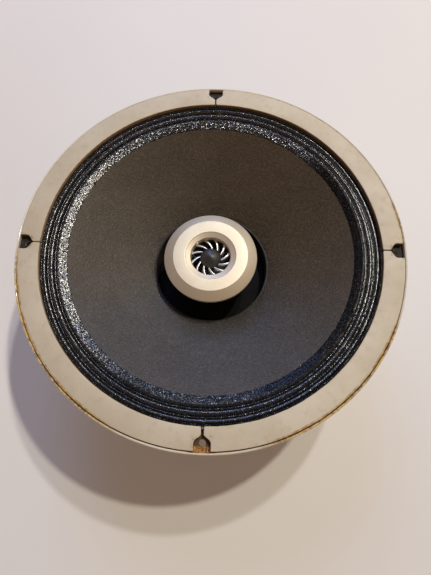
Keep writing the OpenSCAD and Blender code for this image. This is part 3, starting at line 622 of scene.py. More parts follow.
def make_board():
    n = Nodes("paper_board", 0.32)
    ply = n.noise(1.0, 3, 0.6, vec=n.scaled((60, 60, 1400)))
    mott = n.noise(1.0, 4, 0.65, vec=n.scaled((300, 90, 300)))
    col = n.mix(n.smooth(mott, 0.3, 0.7), srgb(104, 58, 28), srgb(132, 80, 42))
    col = n.mix(n.math("MULTIPLY", n.smooth(ply, 0.4, 0.6), 0.25), col, srgb(70, 38, 18))
    n.set("Base Color", col)
    n.bump(n.noise(700, 3), 0.1, 0.0002)
    n.set("Coat Weight", 0.3)
    return n.m


def make_tinsel():
    """braided copper tinsel: two spirals crossing"""
    n = Nodes("tinsel", 0.42, 0.8, (0.62, 0.36, 0.20))
    x, y, z = n.xyz()[:3]
    s = n.math("ADD", n.math("ADD", x, y), n.math("MULTIPLY", z, 0.6))
    d = n.math("SUBTRACT", n.math("SUBTRACT", x, y), n.math("MULTIPLY", z, 0.6))
    w = n.math("MULTIPLY", n.math("ABSOLUTE", n.math("SINE", n.math("MULTIPLY", s, 5600.0))), n.math("ABSOLUTE", n.math("SINE", n.math("MULTIPLY", d, 5600.0))))
    # painted shade: the gaps between the braided strands are coloured dark
    n.set("Base Color", n.mix(w, (0.16, 0.08, 0.04), (0.74, 0.46, 0.27)))
    n.bump(w, 0.8, 0.0002)
    return n.m


M = {
    "cream_paint": make_cream_paint(),
    "gasket_fibre": make_gasket(),
    "doped_cloth": make_doped_cloth(),
    "cone_paper": make_cone_paper(),
    "former_paper": make_plain("former_paper", (0.020, 0.015, 0.011), (0.034, 0.025, 0.018), 0.72, 120, 0.3, spec=0.3),
    "copper_wire": make_winding("copper_wire", (0.66, 0.30, 0.14), 0.32),
    "black_glue": make_plain("black_glue", (0.009, 0.008, 0.007), (0.022, 0.018, 0.014), 0.56, 150, 0.6, 500, 0.0006, spec=0.35),
    "solder": make_metal("solder", (0.60, 0.58, 0.54), 0.38),
    "spider_cloth": make_weave("spider_cloth", srgb(190, 150, 92), srgb(150, 110, 60), 0.55, 0.7, 0.1),
    "card": make_plain("card", srgb(150, 116, 78), srgb(120, 88, 56), 0.85, 60, 0.35, 420, 0.0004),
    "plated_steel": make_turned("plated_steel", (0.62, 0.60, 0.55), 0.36, 3600, 0.12, dull=(0.46, 0.43, 0.37), spots=0.5),
    "magnet_alloy": make_metal("magnet_alloy", (0.20, 0.20, 0.21), 0.45),
    "dark_steel": make_nut(),
    "steel_screw": make_metal("steel_screw", (0.52, 0.50, 0.45), 0.38, rust=0.25),
    "black_felt": make_plain("black_felt", (0.006, 0.006, 0.006), (0.012, 0.011, 0.011), 0.95, 200, 0.9, 900, 0.0008, sheen=0.1, spec=0.1),
    "satin_aluminium": make_turned("satin_aluminium", (0.715, 0.63, 0.485), 0.56, 5200, 0.10, metal=0.86, dull=(0.68, 0.59, 0.445)),
    "polished_aluminium": make_turned("polished_aluminium", (0.93, 0.92, 0.90), 0.36, 2400, 0.04, metal=0.9),
    "black_plastic": make_plain("black_plastic", (0.010, 0.010, 0.010), (0.018, 0.017, 0.016), 0.5),
    # painted shade: the dome foil is coloured near black, so the tweeter edge seen between the vanes reads as dark
    "dome_foil": make_plain("dome_foil", (0.010, 0.009, 0.008), (0.016, 0.014, 0.012), 0.45, 120, 0.15, 500, 0.0003),
    "black_paint": make_plain("black_paint", (0.006, 0.006, 0.006), (0.012, 0.012, 0.012), 0.42, 50, 0.12, 300, 0.0003),
    "brass_part": make_metal("brass_part", (0.62, 0.46, 0.22), 0.36, rust=0.1),
    "grommet_rubber": make_plain("grommet_rubber", (0.012, 0.012, 0.012), (0.024, 0.023, 0.022), 0.7),
    "paper_board": make_board(),
    "tinned_brass": make_metal("tinned_brass", (0.62, 0.60, 0.52), 0.34, rust=0.1),
    "tinsel": make_tinsel(),
    "red_cover": make_plain("red_cover", srgb(120, 26, 18), srgb(92, 18, 14), 0.42, 150, 0.15, coat=0.1),
    "black_cover": make_plain("black_cover", (0.014, 0.014, 0.014), (0.028, 0.027, 0.026), 0.42, 150, 0.15, coat=0.1),
    "capacitor_wax": make_plain("capacitor_wax", srgb(168, 140, 84), srgb(132, 102, 54), 0.45, 45, 0.35, 240, 0.0006, coat=0.35),
    "capacitor_end": make_plain("capacitor_end", srgb(70, 44, 24), srgb(52, 32, 18), 0.5),
}
slot_of = {s["node"]: s["material_slot"] for s in frame["record"]["subparts"]}
for name, o in NODE.items():
    o.data.materials.clear()
    o.data.materials.append(M[slot_of[name]])

# ------------------------------------------------------------------ camera, light, floor
def make_camera():
    cam = bpy.data.cameras.new("photo_camera")
    cam.lens = 36.0 * 431 / 575
    cam.sensor_fit = "AUTO"
    cam.sensor_width = 36.0
    cam.clip_start, cam.clip_end = 0.01, 20
    o = bpy.data.objects.new("photo_camera", cam)
    bpy.context.scene.collection.objects.link(o)
    R = np.array([[0.9994, -0.0315, -0.0144], [0.0344, 0.9506, 0.3084], [0.0040, -0.3087, 0.9512]])
    t = np.array([-0.0329, 0.2424, -2.505])
    k = math.radians(-3.7)
    Rz = np.array([[math.cos(k), -math.sin(k), 0], [math.sin(k), math.cos(k), 0], [0, 0, 1]])
    u, s, v = np.linalg.svd(R @ Rz)
    RG = u @ v
    C = -RG.T @ t * 0.1361 + np.array([0, 0, ZF * MM])
    m = Matrix.Identity(4)
    for i in range(3):
        for j in range(3):
            m[i][j] = RG.T[i][j]
        m[i][3] = C[i]
    o.matrix_world = m
    bpy.context.scene.camera = o
    return o


def area(name, loc, target, size, power, color=(1, 1, 1), spread=None, shape="DISK", size_y=None):
    l = bpy.data.lights.new(name, "AREA")
    l.shape = shape
    l.size = size
    if size_y:
        l.size_y = size_y
    l.energy = power
    l.color = color
    if spread:
        l.spread = math.radians(spread)
    o = bpy.data.objects.new(name, l)
    bpy.context.scene.collection.objects.link(o)
    o.location = loc
    d = Vector(target) - Vector(loc)
    o.rotation_euler = d.to_track_quat("-Z", "Y").to_euler()
    return o


def make_world():
    """a soft room: warm towards the camera, cooler behind the part, darker overhead"""
    w = bpy.data.worlds.new("studio")
    bpy.context.scene.world = w
    w.use_nodes = True
    t = w.node_tree
    bg = t.nodes["Background"]
    co = t.nodes.new("ShaderNodeTexCoord")
    sep = t.nodes.new("ShaderNodeSeparateXYZ")
    t.links.new(co.outputs["Generated"], sep.inputs[0])
    def ramp(sock, lo, hi):
        m = t.nodes.new("ShaderNodeMapRange")
        m.interpolation_type = "SMOOTHSTEP"
        t.links.new(sock, m.inputs[0])
        m.inputs[1].default_value, m.inputs[2].default_value = lo, hi
        return m.outputs[0]
    def mix(f, a, b):
        m = t.nodes.new("ShaderNodeMix")
        m.data_type = "RGBA"
        t.links.new(f, m.inputs[0])
        for i, v in ((6, a), (7, b)):
            if isinstance(v, bpy.types.NodeSocket):
                t.links.new(v, m.inputs[i])
            else:
                m.inputs[i].default_value = (*v, 1)
        return m.outputs[2]
    sides = mix(ramp(sep.outputs[1], -0.7, 0.7), WORLD_NEAR, WORLD_FAR)
    left = mix(ramp(sep.outputs[0], -0.9, 0.3), WORLD_LEFT, sides)
    col = mix(ramp(sep.outputs[2], 0.55, 0.92), left, WORLD_TOP)
    t.links.new(col, bg.inputs[0])
    bg.inputs[1].default_value = 1.0


WORLD_NEAR, WORLD_FAR, WORLD_LEFT, WORLD_TOP = (0.465, 0.31, 0.205), (0.315, 0.245, 0.205), (0.36, 0.28, 0.25), (0.145, 0.117, 0.100)


def make_stage():
    make_world()
    bpy.context.scene.view_settings.view_transform = "Standard"
    k = math.radians(3.7)
    def turn(v):
        return Vector((v[0] * math.cos(k) - v[1] * math.sin(k), v[0] * math.sin(k) + v[1] * math.cos(k), v[2]))
    top = Vector((0, 0, 0.12))
    area("lamp_a", (1.153, 1.103, 2.958), top, 0.13, 43, (1.0, 0.95, 0.82))
    area("lamp_b", (0.754, 1.265, 2.354), top, 0.10, 19, (1.0, 0.98, 1.0))
    win = turn((-0.12, 1.0, 0.74)).normalized() * 4.0 + top
    area("window", win, top, 1.6, 52, (0.30, 0.50, 1.0), shape="RECTANGLE", size_y=2.3)
    bpy.ops.mesh.primitive_plane_add(size=6, location=(0, 0, 0))
    fl = bpy.context.active_object
    fl.name = "floor"
    n = Nodes("floor", 0.6, base=(0.79, 0.755, 0.71))
    n.set("Base Color", n.mix(n.smooth(n.noise(3, 3), 0.3, 0.7), (0.80, 0.765, 0.72), (0.78, 0.745, 0.70)))
    fl.data.materials.append(n.m)


make_camera()
make_stage()

# ------------------------------------------------------------------ shapes shared by several pieces
def side(p, t):
    """the polyline p moved sideways by t"""
    p = [np.array(q, float) for q in p]
    out = []
    for i in range(len(p)):
        a = (p[i] - p[i - 1]) if i else (p[1] - p[0])
        b = (p[i + 1] - p[i]) if i < len(p) - 1 else a
        a, b = a / np.linalg.norm(a), b / np.linalg.norm(b)
        pa, pb = np.array([-a[1], a[0]]), np.array([-b[1], b[0]])
        n = pa + pb
        n = n / np.linalg.norm(n)
        out.append(tuple(p[i] + n * t / max(float(np.dot(n, pa)), 0.5)))
    return out


def waves(seed, ks, amp):
    """a smooth random function of the angle"""
    g = rnd(seed)
    ph, am = g.uniform(0, 2 * math.pi, len(ks)), g.normal(0, 1, len(ks))
    def f(ang):
        return amp * sum(m * np.cos(k * ang + p) for k, p, m in zip(ks, ph, am)) / math.sqrt(len(ks))
    return f


def lumpy(seed, n, lo, hi):
    """a smooth random function of a point, from sine waves between two wavelengths in mm"""
    g = rnd(seed)
    d = g.normal(0, 1, (n, 3))
    d /= np.linalg.norm(d, axis=1)[:, None]
    k = 2 * math.pi / g.uniform(lo, hi, n)
    ph = g.uniform(0, 2 * math.pi, n)
    def f(p):
        return np.cos((p @ (d * k[:, None]).T) + ph).sum(1) / math.sqrt(n / 2)
    return f


def push(v, amount):
    """moves vertices of a turned shape by amount along z"""
    v = np.array(v, float)
    v[:, 2] += amount
    return v


# ------------------------------------------------------------------ cone
C_OUT, C_IN = np.array([115.2, LIP]), np.array([49.52, ZF - 48.5])


def lip(r):
    return (r, LIP + (r - 115.2) * 0.41)


def cone_point(t):
    p = C_OUT + (C_IN - C_OUT) * t
    return (p[0], p[1] - 1.2 * math.sin(math.pi * t))


def cone_z(r):
    return cone_point((C_OUT[0] - r) / (C_OUT[0] - C_IN[0]))[1]


def make_cone():
    face = [lip(119.2), lip(117.2)] + [cone_point(i / 44) for i in range(45)]
    back = side(face, 0.9)
    prof = face + back[::-1]
    v, f = lathe_data(prof, 480)
    v = np.array(v)
    r = np.hypot(v[:, 0], v[:, 1])
    inner = np.clip((116.5 - r) / 12, 0, 1) * np.clip((r - 49.5) / 6, 0, 1)
    bumps = lumpy(11, 40, 14, 60)(v) * 0.09 + lumpy(12, 60, 3.0, 9.0)(v) * 0.022
    v = push(v, bumps * inner)
    # the edge at the neck was cut by hand and soaked with glue
    near = np.clip((54.5 - r) / 4.0, 0, 1) * np.clip((r - 49.53) / 1.2, 0, 1)
    v[:, 2] += near * (lumpy(13, 60, 2.0, 7.0)(v) * 0.16 + lumpy(14, 40, 6, 20)(v) * 0.10)
    return finish_mesh("paper_cone_felted", v, f, M["cone_paper"], "cone_assembly", ["paper_cone"], sharp=50, slot="cone_paper")


# ------------------------------------------------------------------ rolled cloth edge
CREST, PITCH, RMID, RA, ET = 132.8, 5.8, ZF - 5.2, 1.3, 0.45


def roll_line(step=0.27):
    p = [(152.0, FT), (145.0, FT), (139.5, FT), (137.3, FT), (136.9, FT - 0.12), (136.6, FT - 0.35), (136.3, FT - 0.65), (136.1, FT - 0.95), (135.85, FT - 1.25), (135.7, FT - 1.5)]
    r = CREST + PITCH * 0.4
    while r > CREST - 2 * PITCH - 0.3:
        c = math.cos(2 * math.pi * (r - CREST) / PITCH)
        p.append((r, RMID + RA * c * (1.3 - 0.3 * c * c)))      # rounder crests than a plain wave
        r -= step
    return p + [lip(x) for x in (120.5, 119.9, 119.2, 118.4, 117.6, 116.8, 116.0, 115.3)]


def make_surround():
    under = roll_line()
    top = side(under, -ET)
    prof = top + under[::-1]
    nt = len(top)
    v, f = lathe_data(prof, 1080)
    v = np.array(v)
    seg = 1080
    istop = np.zeros(len(v), bool)
    istop[: nt * seg] = True
    r = np.hypot(v[:, 0], v[:, 1])
    free = np.clip((136.6 - r) / 1.5, 0, 1)
    big = lumpy(21, 50, 9, 40)(v) * 0.07
    small = lumpy(22, 110, 1.7, 4.0)(v) * 0.028
    dope = np.abs(lumpy(23, 110, 1.5, 3.0)(v)) * 0.12
    band = np.clip((119.4 - r) / 0.6, 0, 1) * np.clip((r - 115.35) / 0.5, 0, 1)
    move = (big + small * istop) * free * np.where(band > 0, 0.25, 1.0) + dope * band * istop
    v = push(v, move)
    # holes for the mounting bolts are hidden under the gasket, and open in its notches
    keep = np.ones(len(v), bool)
    for k in range(4):
        c = np.array([147.2 * math.cos(k * math.pi / 2), 147.2 * math.sin(k * math.pi / 2)])
        keep &= np.hypot(v[:, 0] - c[0], v[:, 1] - c[1]) > 7.6
    # the cloth's two faces lose the same points, and the cut between them is closed with a narrow wall
    def other(i):
        return (2 * nt - 1 - i // seg) * seg + i % seg
    keep &= keep[[other(i) for i in range(len(v))]]
    keep[:seg] &= keep[seg:2 * seg]
    keep[-seg:] &= keep[-2 * seg:-seg]
    f = [q for q in f if all(keep[i] for i in q)]
    edges = {}
    for q in f:
        for i, j in zip(q, q[1:] + q[:1]):
            edges[(i, j)] = True
    f += [[j, i, other(i), other(j)] for i, j in edges if (j, i) not in edges and istop[i] and istop[j]]
    used = sorted({i for q in f for i in q})
    back = {i: j for j, i in enumerate(used)}
    v = v[used]
    f = [[back[i] for i in q] for q in f]
    o = finish_mesh("edge_surround_doped", v, f, M["doped_cloth"], None, ["edge_surround"], sharp=70, slot="doped_cloth")
    o = radial_blend(o)
    return o


def radial_blend(o):
    """bakes the transform into the mesh and reads its vertices in millimetres; it makes no blend between bodies"""
    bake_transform(o)
    n = len(o.data.vertices)
    co = np.zeros(n * 3)
    o.data.vertices.foreach_get("co", co)
    co = co.reshape(-1, 3) * 1000
    return o


# ------------------------------------------------------------------ gasket
GAPS = [0.8, 1.1, 0.8, 2.0]
NOTCH_W = 12.1


def notch_half(r, gap):
    if r < 141.2:
        return gap / 2
    if r > 147.4:
        return NOTCH_W / 2
    u = (r - 141.2) / 6.2
    s = 2.8 * u * u if u < 0.34 else 1 - 1.55 * (1 - u) ** 2
    return gap / 2 + (NOTCH_W / 2 - gap / 2) * s


def make_gasket_quarter(i, name):
    """a quarter ring of fibre board, with half a notch at each end"""
    g = rnd(40 + i)
    wob_o, wob_i = waves(50 + i, [3, 5, 9, 17, 40, 90], 0.06), waves(60 + i, [3, 7, 13, 31, 80, 150], 0.07)
    r0, r1 = 136.0, 152.6
    def edge_pts(gap, seed):
        w = waves(seed, [2, 4, 7, 12], 0.07)
        pts = []
        for x in np.concatenate([np.arange(r0 - 0.05, 141.2, 0.5), np.arange(141.2, 147.41, 0.25), np.arange(147.8, r1 + 0.01, 0.5), [r1]]):
            y = notch_half(x, gap) + float(w(np.array(x * 0.9)))
            y = max(y, gap / 2 * 0.6)
            if y * y < x * x:
                pts.append((x, y))
        return pts
    def turn(p, deg):
        c, s = math.cos(math.radians(deg)), math.sin(math.radians(deg))
        return (p[0] * c - p[1] * s, p[0] * s + p[1] * c)
    start = edge_pts(GAPS[i], 70 + i)                       # from the inner edge outwards
    end = [(x, -y) for x, y in edge_pts(GAPS[(i + 1) % 4], 80 + i)]
    def clip_r(pts):
        out = []
        for x, y in pts:
            rr = math.hypot(x, y)
            if r0 - 0.02 <= rr <= r1 + 0.02:
                out.append((x, y))
        return out
    start, end = clip_r(start), clip_r(end)
    a_in0 = math.degrees(math.atan2(start[0][1], start[0][0]))
    a_out0 = math.degrees(math.atan2(start[-1][1], start[-1][0]))
    a_in1 = 90 + math.degrees(math.atan2(end[0][1], end[0][0]))
    a_out1 = 90 + math.degrees(math.atan2(end[-1][1], end[-1][0]))
    out = [turn(p, 0) for p in start]
    for a in np.linspace(a_out0, a_out1, 150)[1:-1]:
        q = math.radians(a)
        r = r1 - 0.05 + float(wob_o(np.array(q)))
        out.append((r * math.cos(q), r * math.sin(q)))
    out += [turn(p, 90) for p in end[::-1]]
    for a in np.linspace(a_in1, a_in0, 150)[1:-1]:
        q = math.radians(a)
        r = r0 + 0.05 + float(wob_i(np.array(q)))
        out.append((r * math.cos(q), r * math.sin(q)))
    out = [turn(p, i * 90) for p in out]
    n = len(out)
    P = np.array(out)
    # inward direction at each point of the outline, for the rounded edge
    nxt, prv = np.roll(P, -1, 0), np.roll(P, 1, 0)
    tan = nxt - prv
    tan /= np.linalg.norm(tan, axis=1)[:, None]
    inw = np.stack([-tan[:, 1], tan[:, 0]], 1)
    area2 = np.sum(P[:, 0] * nxt[:, 1] - nxt[:, 0] * P[:, 1])
    if area2 < 0:
        inw = -inw
    wear = 0.35 + 0.25 * np.abs(waves(90 + i, [5, 11, 23, 47, 71], 1.0)(np.linspace(0, 6.28, n)))
    zt, zb = ZF, FT + ET
    rings = [(0.0, zb + 0.02), (0.0, zt - 1.6), (0.0, None), (0.14, None), (0.45, None), (1.0, zt)]
    verts, faces = [], []
    for k, (d, z) in enumerate(rings):
        w = wear if z is None or k == 5 else np.zeros(n)
        off = d * (wear if k >= 2 else 0)
        if z is None:
            zz = zt - wear * {2: 1.0, 3: 0.55, 4: 0.16}[k]
        else:
            zz = np.full(n, z)
        q = P + inw * (np.zeros(n) if np.isscalar(off) else off)[:, None]
        verts += [(x, y, c) for (x, y), c in zip(q, zz)]
    for k in range(len(rings) - 1):
        for j in range(n):
            a, b = k * n + j, k * n + (j + 1) % n
            faces.append([a, b, b + n, a + n])
    # the flat top and bottom, filled by a triangulation that keeps the outline
    for base, flip in (((len(rings) - 1) * n, False), (0, True)):
        pts = [Vector((verts[base + j][0], verts[base + j][1])) for j in range(n)]
        res = delaunay_2d_cdt(pts, [], [list(range(n))], 1, 1e-6)
        back = [orig[0] if orig else None for orig in res[3]]
        for tri in res[2]:
            q = [base + back[t] for t in tri if back[t] is not None]
            if len(q) == 3:
                faces.append(q[::-1] if flip else q)
    o = finish_mesh(name + "_board", verts, faces, M["gasket_fibre"], "chassis", [name], sharp=60, slot="gasket_fibre")
    return o


# ------------------------------------------------------------------ tweeter front
def make_bezel():
    prof = [(16.7, BZ - 7.2), (16.7, BZ - 2.4), (17.1, BZ - 1.9), (20.9, BZ - 0.5), (21.2, BZ - 0.12), (21.7, BZ),
            (31.2, BZ), (38.85, BZ - 4.75), (39.2, BZ - 5.1), (39.2, BZ - 6), (38.8, BZ - 6.4), (31, BZ - 6.4), (31, BZ - 7.2)]
    rad = [0.1, 0.3, 0.4, 0.3, 0.15, 0.3, 0.22, 0.2, 0.2, 0.2, 0.2, 0.1, 0.1]
    return lathe("tweeter_bezel_turned", prof, M["satin_aluminium"], "chassis", ["tweeter_bezel"], seg=384, rad=rad, sharp=50, slot="satin_aluminium")


def make_phase_plug():
    hub = [(0, BZ - 12.6), (3, BZ - 12.4), (6.5, BZ - 12.0), (8.4, BZ - 11.2), (9.3, BZ - 9.6), (9.4, BZ - 8.2), (8.7, BZ - 6.6), (7.0, BZ - 5.1), (4.9, BZ - 3.9), (2.8, BZ - 3.0), (1.1, BZ - 2.4), (0.4, BZ - 2.16), (0, BZ - 2.12)]
    v, f = lathe_data(fillet(hub, [0, 1, 1, 1, 1, 1, 1.5, 2, 2, 2, 1, 0.1, 0], 4), 160)
    n = Nodes("plug_finish", 0.33, 0.0, (0.012, 0.0115, 0.011))
    n.set("Roughness", n.math("ADD", 0.33, n.math("MULTIPLY", n.noise(300, 3), 0.14)))
    n.set("Base Color", n.mix(n.smooth(n.noise(420, 4, 0.6), 0.5, 0.75), (0.007, 0.0065, 0.006), (0.020, 0.017, 0.014)))
    n.set("Specular IOR Level", 1.0)
    n.bump(n.noise(900, 3, 0.6), 0.08, 0.0001)
    plug = finish_mesh("phase_plug_centre", v, f, n.m, "chassis", ["phase_plug"], sharp=50, slot="polished_aluminium")
    count = 12
    verts, faces = [], []
    nu = 16
    for k in range(count):
        base = len(verts)
        sect = []
        for i in range(nu + 1):
            u = i / nu * 0.98
            r = 8.6 + u * 8.6
            if r > 16.5:
                r = 16.5
            mid = k * 30 - 11 + 28 * u ** 0.85 + 2.6 - 0.6 * u
            w = 0.95 + 1.25 * u
            top = BZ - 6.8 + 0.25 * math.sin(math.pi * u)
            # across the blade: foot, straight side, rounded crown wider on the clockwise side
            line = [(0.5 * w - 1.5, -5.4), (0.5 * w - 0.5, -2.2), (0.5 * w, -0.42), (0.40 * w, -0.14), (0.22 * w, 0.0), (-0.02 * w, -0.03), (-0.30 * w, -0.12), (-0.58 * w, -0.30), (-0.80 * w, -0.62), (-0.92 * w, -1.15), (-0.92 * w - 0.2, -2.2), (-0.5 * w - 1.5, -5.4)]
            row = []
            for s, h in line:
                q = math.radians(mid + math.degrees(s / r))
                row.append(len(verts))
                verts.append((r * math.cos(q), r * math.sin(q), top + h))
            sect.append(row)
        m = len(sect[0])
        for i in range(nu):
            for j in range(m):
                faces.append([sect[i][j], sect[i + 1][j], sect[i + 1][(j + 1) % m], sect[i][(j + 1) % m]])
        faces.append(sect[0])
        faces.append(sect[-1][::-1])
    vanes = finish_mesh("phase_plug_vanes", verts, faces, M["polished_aluminium"], "chassis", sharp=60, slot="polished_aluminium")
    ring = lathe("phase_plug_ring", [(16.2, BZ - 12.5), (18.5, BZ - 12.5), (18.5, BZ - 7.25), (16.2, BZ - 7.25)], M["black_plastic"], "chassis", seg=160, rad=0.15, slot="polished_aluminium")
    return plug, vanes, ring


make_cone()
make_surround()
for k, nm in enumerate(["gasket_upper_right", "gasket_upper_left", "gasket_lower_left", "gasket_lower_right"]):
    make_gasket_quarter(k, nm)
make_bezel()
make_phase_plug()

# ------------------------------------------------------------------ neck of the cone
def make_neck():
    """the top of the former is cut unevenly, and glue is laid along it"""
    wav, chip = waves(301, [2, 3, 5, 8, 13, 21, 34], 0.16), waves(302, [29, 47, 71, 97, 131, 173], 0.13)
    def shape(r, z, ang):
        up = np.clip((z - (ZF - 50)) / 2.0, 0, 1)
        return r, z + up * (np.minimum(wav(ang) + chip(ang), 0.35) - 0.15)
    prof = [(49.0, ZF - 78), (49.5, ZF - 78), (49.5, ZF - 60), (49.5, ZF - 50.4), (49.5, ZF - 48.0), (49.47, ZF - 47.4), (49.25, ZF - 47.25), (49.03, ZF - 47.4), (49.0, ZF - 48.0), (49.0, ZF - 60)]
    lathe("coil_former_tube", prof, M["former_paper"], "cone_assembly", ["coil_former"], seg=420, shape=shape, slot="former_paper")
    g = rnd(303)
    big, fine = waves(304, [3, 4, 7, 11, 17], 0.30), waves(305, [37, 53, 79, 113, 151], 0.16)
    def bead(r, z, ang):
        s = np.clip(1.0 + big(ang) + fine(ang), 0.25, 1.9)
        out = np.clip((r - 49.55) / 1.2, 0, 1)
        return 49.52 + (r - 49.52) * (1 + (s - 1) * 0.7 * out), z + (s - 1) * 0.28 * np.clip((z - (ZF - 48.6)) / 0.6, 0, 1)
    front = [(49.52, ZF - 48.9), (51.0, ZF - 48.15), (50.8, ZF - 47.75), (50.3, ZF - 47.72), (49.8, ZF - 47.62), (49.52, ZF - 47.7)]
    lathe("neck_glue_front", front, M["black_glue"], "cone_assembly", seg=420, rad=0.12, shape=bead, slot="black_glue")
    def rear(r, z, ang):
        s = 1.0 + 0.5 * (big(ang * 1.0 + 1.0) + fine(ang))
        return 49.52 + (r - 49.52) * np.clip(s, 0.6, 1.12), z
    back = [(49.52, ZF - 49.8), (49.52, ZF - 52.6), (50.3, ZF - 51.9), (51.3, ZF - 50.3), (52.4, ZF - 48.4), (51.6, ZF - 48.35)]
    lathe("neck_glue_back", back, M["black_glue"], "cone_assembly", ["neck_glue_ring"], seg=300, rad=0.2, shape=rear, slot="black_glue")


# ------------------------------------------------------------------ spider and leads
def make_spider():
    sz = ZF - 55.6
    web = [(73.6, sz - 1), (70.5, sz - 1), (68.6, sz - 1), (67.8, sz - 0.85), (67.2, sz - 0.4)]
    r = 66.6
    while r > 52.0:
        web.append((r, sz + 1.3 * math.sin(2 * math.pi * (r - 52) / 4.8)))
        r -= 0.3
    web += [(51.4, sz - 0.1), (50.6, sz), (49.55, sz)]
    back = side(web, -0.4)
    prof = back + web[::-1]
    v, f = lathe_data(prof, 360)
    v = np.array(v)
    r = np.hypot(v[:, 0], v[:, 1])
    free = np.clip((67.5 - r) / 2, 0, 1) * np.clip((r - 50) / 1.5, 0, 1)
    v = push(v, lumpy(310, 50, 6, 24)(v) * 0.06 * free)
    o = finish_mesh("spider_cloth_web", v, f, M["spider_cloth"], None, ["spider"], sharp=70, slot="spider_cloth")
    radial_blend(o)


def rotz(p, deg):
    c, s = math.cos(math.radians(deg)), math.sin(math.radians(deg))
    return (p[0] * c - p[1] * s, p[0] * s + p[1] * c, p[2])


def spline(points, m):
    """a smooth line through the points"""
    p = [np.array(q, float) for q in points]
    out = []
    for i in range((len(p) - 1) * m + 1):
        t = i / m
        k = min(len(p) - 2, int(t))
        u = t - k
        a, b, c, d = p[max(k - 1, 0)], p[k], p[k + 1], p[min(k + 2, len(p) - 1)]
        out.append(0.5 * ((2 * b) + (c - a) * u + (2 * a - 5 * b + 4 * c - d) * u * u + (3 * b - a - 3 * c + d) * u ** 3))
    return out


def tube(q, radius, sides=12, strands=0, depth=0.0, twist=0.0):
    """a round tube along the points; strands twists that many rounded strands round it"""
    q = [np.array(x, float) for x in q]
    n = len(q)
    tang = [(q[min(i + 1, n - 1)] - q[max(i - 1, 0)]) for i in range(n)]
    tang = [t / np.linalg.norm(t) for t in tang]
    u = np.array([1.0, 0, 0]) if abs(tang[0][2]) > 0.9 else np.array([0, 0, 1.0])
    verts, faces, dist = [], [], 0.0
    for i in range(n):
        if i:
            dist += float(np.linalg.norm(q[i] - q[i - 1]))
        u = u - np.dot(u, tang[i]) * tang[i]
        u = u / np.linalg.norm(u)
        w = np.cross(tang[i], u)
        for j in range(sides):
            a = 2 * math.pi * j / sides
            rr = radius
            if strands:
                rr = radius * (1 - depth * (1 - abs(math.cos((a + twist * dist) * strands / 2)))) * (1 - depth * 0.6 * (1 - abs(math.cos((a - twist * dist) * strands / 2))))
            verts.append(q[i] + rr * (math.cos(a) * u + math.sin(a) * w))
    for i in range(n - 1):
        for j in range(sides):
            a, b = i * sides + j, i * sides + (j + 1) % sides
            faces.append([a, b, b + sides, a + sides])
    faces.append(list(range(sides))[::-1])
    faces.append([(n - 1) * sides + j for j in range(sides)])
    return verts, faces


LEAD_A = 225


def make_tinsel_leads():
    for s, node in ((1, "tinsel_lead_a"), (-1, "tinsel_lead_b")):
        c = cone_z(60)
        pts = [(58.9, s * 11.4, c - 3.9), (61, s * 12, c - 5.1), (65, s * 13, c - 7.6), (72, s * 14.2, c - 9.6), (80, s * 15, c - 8.6),
               (88, s * 15.2, c - 4), (95, s * 15.2, c + 0.4), (101, s * 15.1, c + 3.4), (105.4, s * 15, c + 4.1), (108.1, s * 15, SEAT - 1.5 + 26.6)]
        q = [rotz(p, LEAD_A) for p in spline(pts, 22)]
        v, f = tube(q, 0.78, 16, strands=6, depth=0.28, twist=1.6)
        o = finish_mesh(node + "_braid", v, f, M["tinsel"], None, [node], sharp=80, slot="tinsel")
        radial_blend(o)


def make_tweeter_edge():
    prof = [(14.9, BZ - 17.9), (15.6, BZ - 17.7), (16.2, BZ - 17), (16.7, BZ - 16.7), (17.2, BZ - 16.6), (17.7, BZ - 16.7), (18.2, BZ - 17), (18.8, BZ - 17.8), (24, BZ - 17.8),
            (24, BZ - 18.15), (18.5, BZ - 18.15), (17.9, BZ - 17.35), (17.2, BZ - 17), (16.5, BZ - 17.35), (15.8, BZ - 18.1), (14.9, BZ - 18.2)]
    v, f = lathe_data(fillet(prof, 0.15, 3), 200)
    # near-black dome foil: painted shade in the gaps between the vanes
    o = finish_mesh("tweeter_edge_roll", v, f, M["dome_foil"], None, ["tweeter_edge"], sharp=60, slot="dome_foil")
    radial_blend(o)


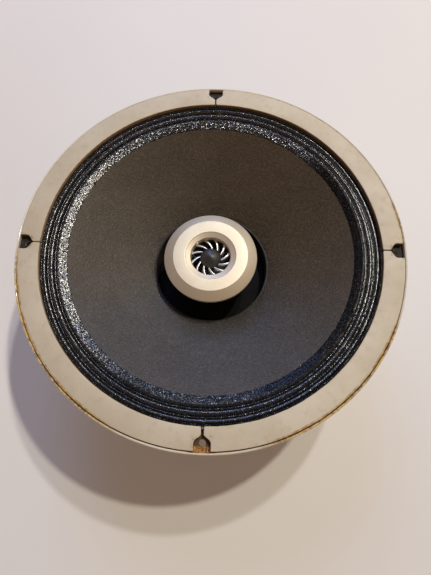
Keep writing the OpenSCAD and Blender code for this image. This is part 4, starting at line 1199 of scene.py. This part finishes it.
# ------------------------------------------------------------------ rear and connections
def make_capacitor():
    """a waxed paper tube with sealed ends"""
    wav = waves(320, [2, 3, 5, 9], 0.05)
    prof = [(0, 11.5), (1.5, 11.55), (1.7, 11.9), (7.2, 12.1), (8.4, 11.75), (9.1, 12.2), (9.35, 13.0), (9.38, 27), (9.35, 41.0), (9.1, 41.8), (8.4, 42.25), (7.2, 41.9), (1.7, 42.1), (1.5, 42.45), (0, 42.5)]
    v, f = lathe_data(fillet(prof, 0.35, 3), 96)
    v = np.array(v)
    v[:, 0] += 0
    lum = lumpy(321, 40, 3, 12)(v) * 0.05
    rr = np.hypot(v[:, 0], v[:, 1])
    k = np.where(rr > 1.8, 1 - np.abs(lum) / 9.4, 1.0)
    v[:, 0] *= k
    v[:, 1] *= k
    v[:, 0] += 87
    q = math.radians(LEAD_A + 30)
    x, y = v[:, 0] * math.cos(q) - v[:, 1] * math.sin(q), v[:, 0] * math.sin(q) + v[:, 1] * math.cos(q)
    v = np.stack([x, y, v[:, 2]], 1)
    finish_mesh("capacitor_body", v, f, M["capacitor_wax"], "chassis", ["capacitor"], sharp=50, slot="capacitor_wax")


def blob(name, centre, size, seed, mat, slot, body="chassis"):
    """a small drop of solder"""
    bm = bmesh.new()
    bmesh.ops.create_icosphere(bm, subdivisions=3, radius=1.0)
    pts = np.array([tuple(v.co) for v in bm.verts])
    faces = [[v.index for v in f.verts] for f in bm.faces]
    bm.free()
    g = lumpy(seed, 14, 1.2, 3.0)(pts * 1.0) * 0.06
    pts = pts * (1 + g)[:, None] * np.array(size) + np.array(centre)
    finish_mesh(name, pts, faces, mat, body, sharp=80, slot=slot)


def make_solder():
    """drops of solder where the leads meet the tags, and on the coil's joints"""
    c = cone_z(60)
    for i, (p, size) in enumerate([((108.1, 15, SEAT + 25.2), (1.3, 1.5, 1.2)), ((108.1, -15, SEAT + 25.2), (1.3, 1.5, 1.2)),
                                   ((117.4, -2.44, 68.7), (1.25, 1.1, 1.5)), ((117.4, 2.44, 68.7), (1.25, 1.1, 1.5))]):
        blob("solder_drop_%d" % i, rotz(p, LEAD_A), size, 330 + i, M["solder"], "solder")
    for i, s in enumerate((1, -1)):
        blob("coil_solder_%d" % i, rotz((60, s * 11.66, c - 2.4), LEAD_A), (1.6, 1.6, 0.9), 340 + i, M["solder"], "solder", "cone_assembly")


make_neck()
make_spider()
make_tinsel_leads()
make_tweeter_edge()
make_capacitor()
make_solder()

# ------------------------------------------------------------------ end
bpy.context.view_layer.update()
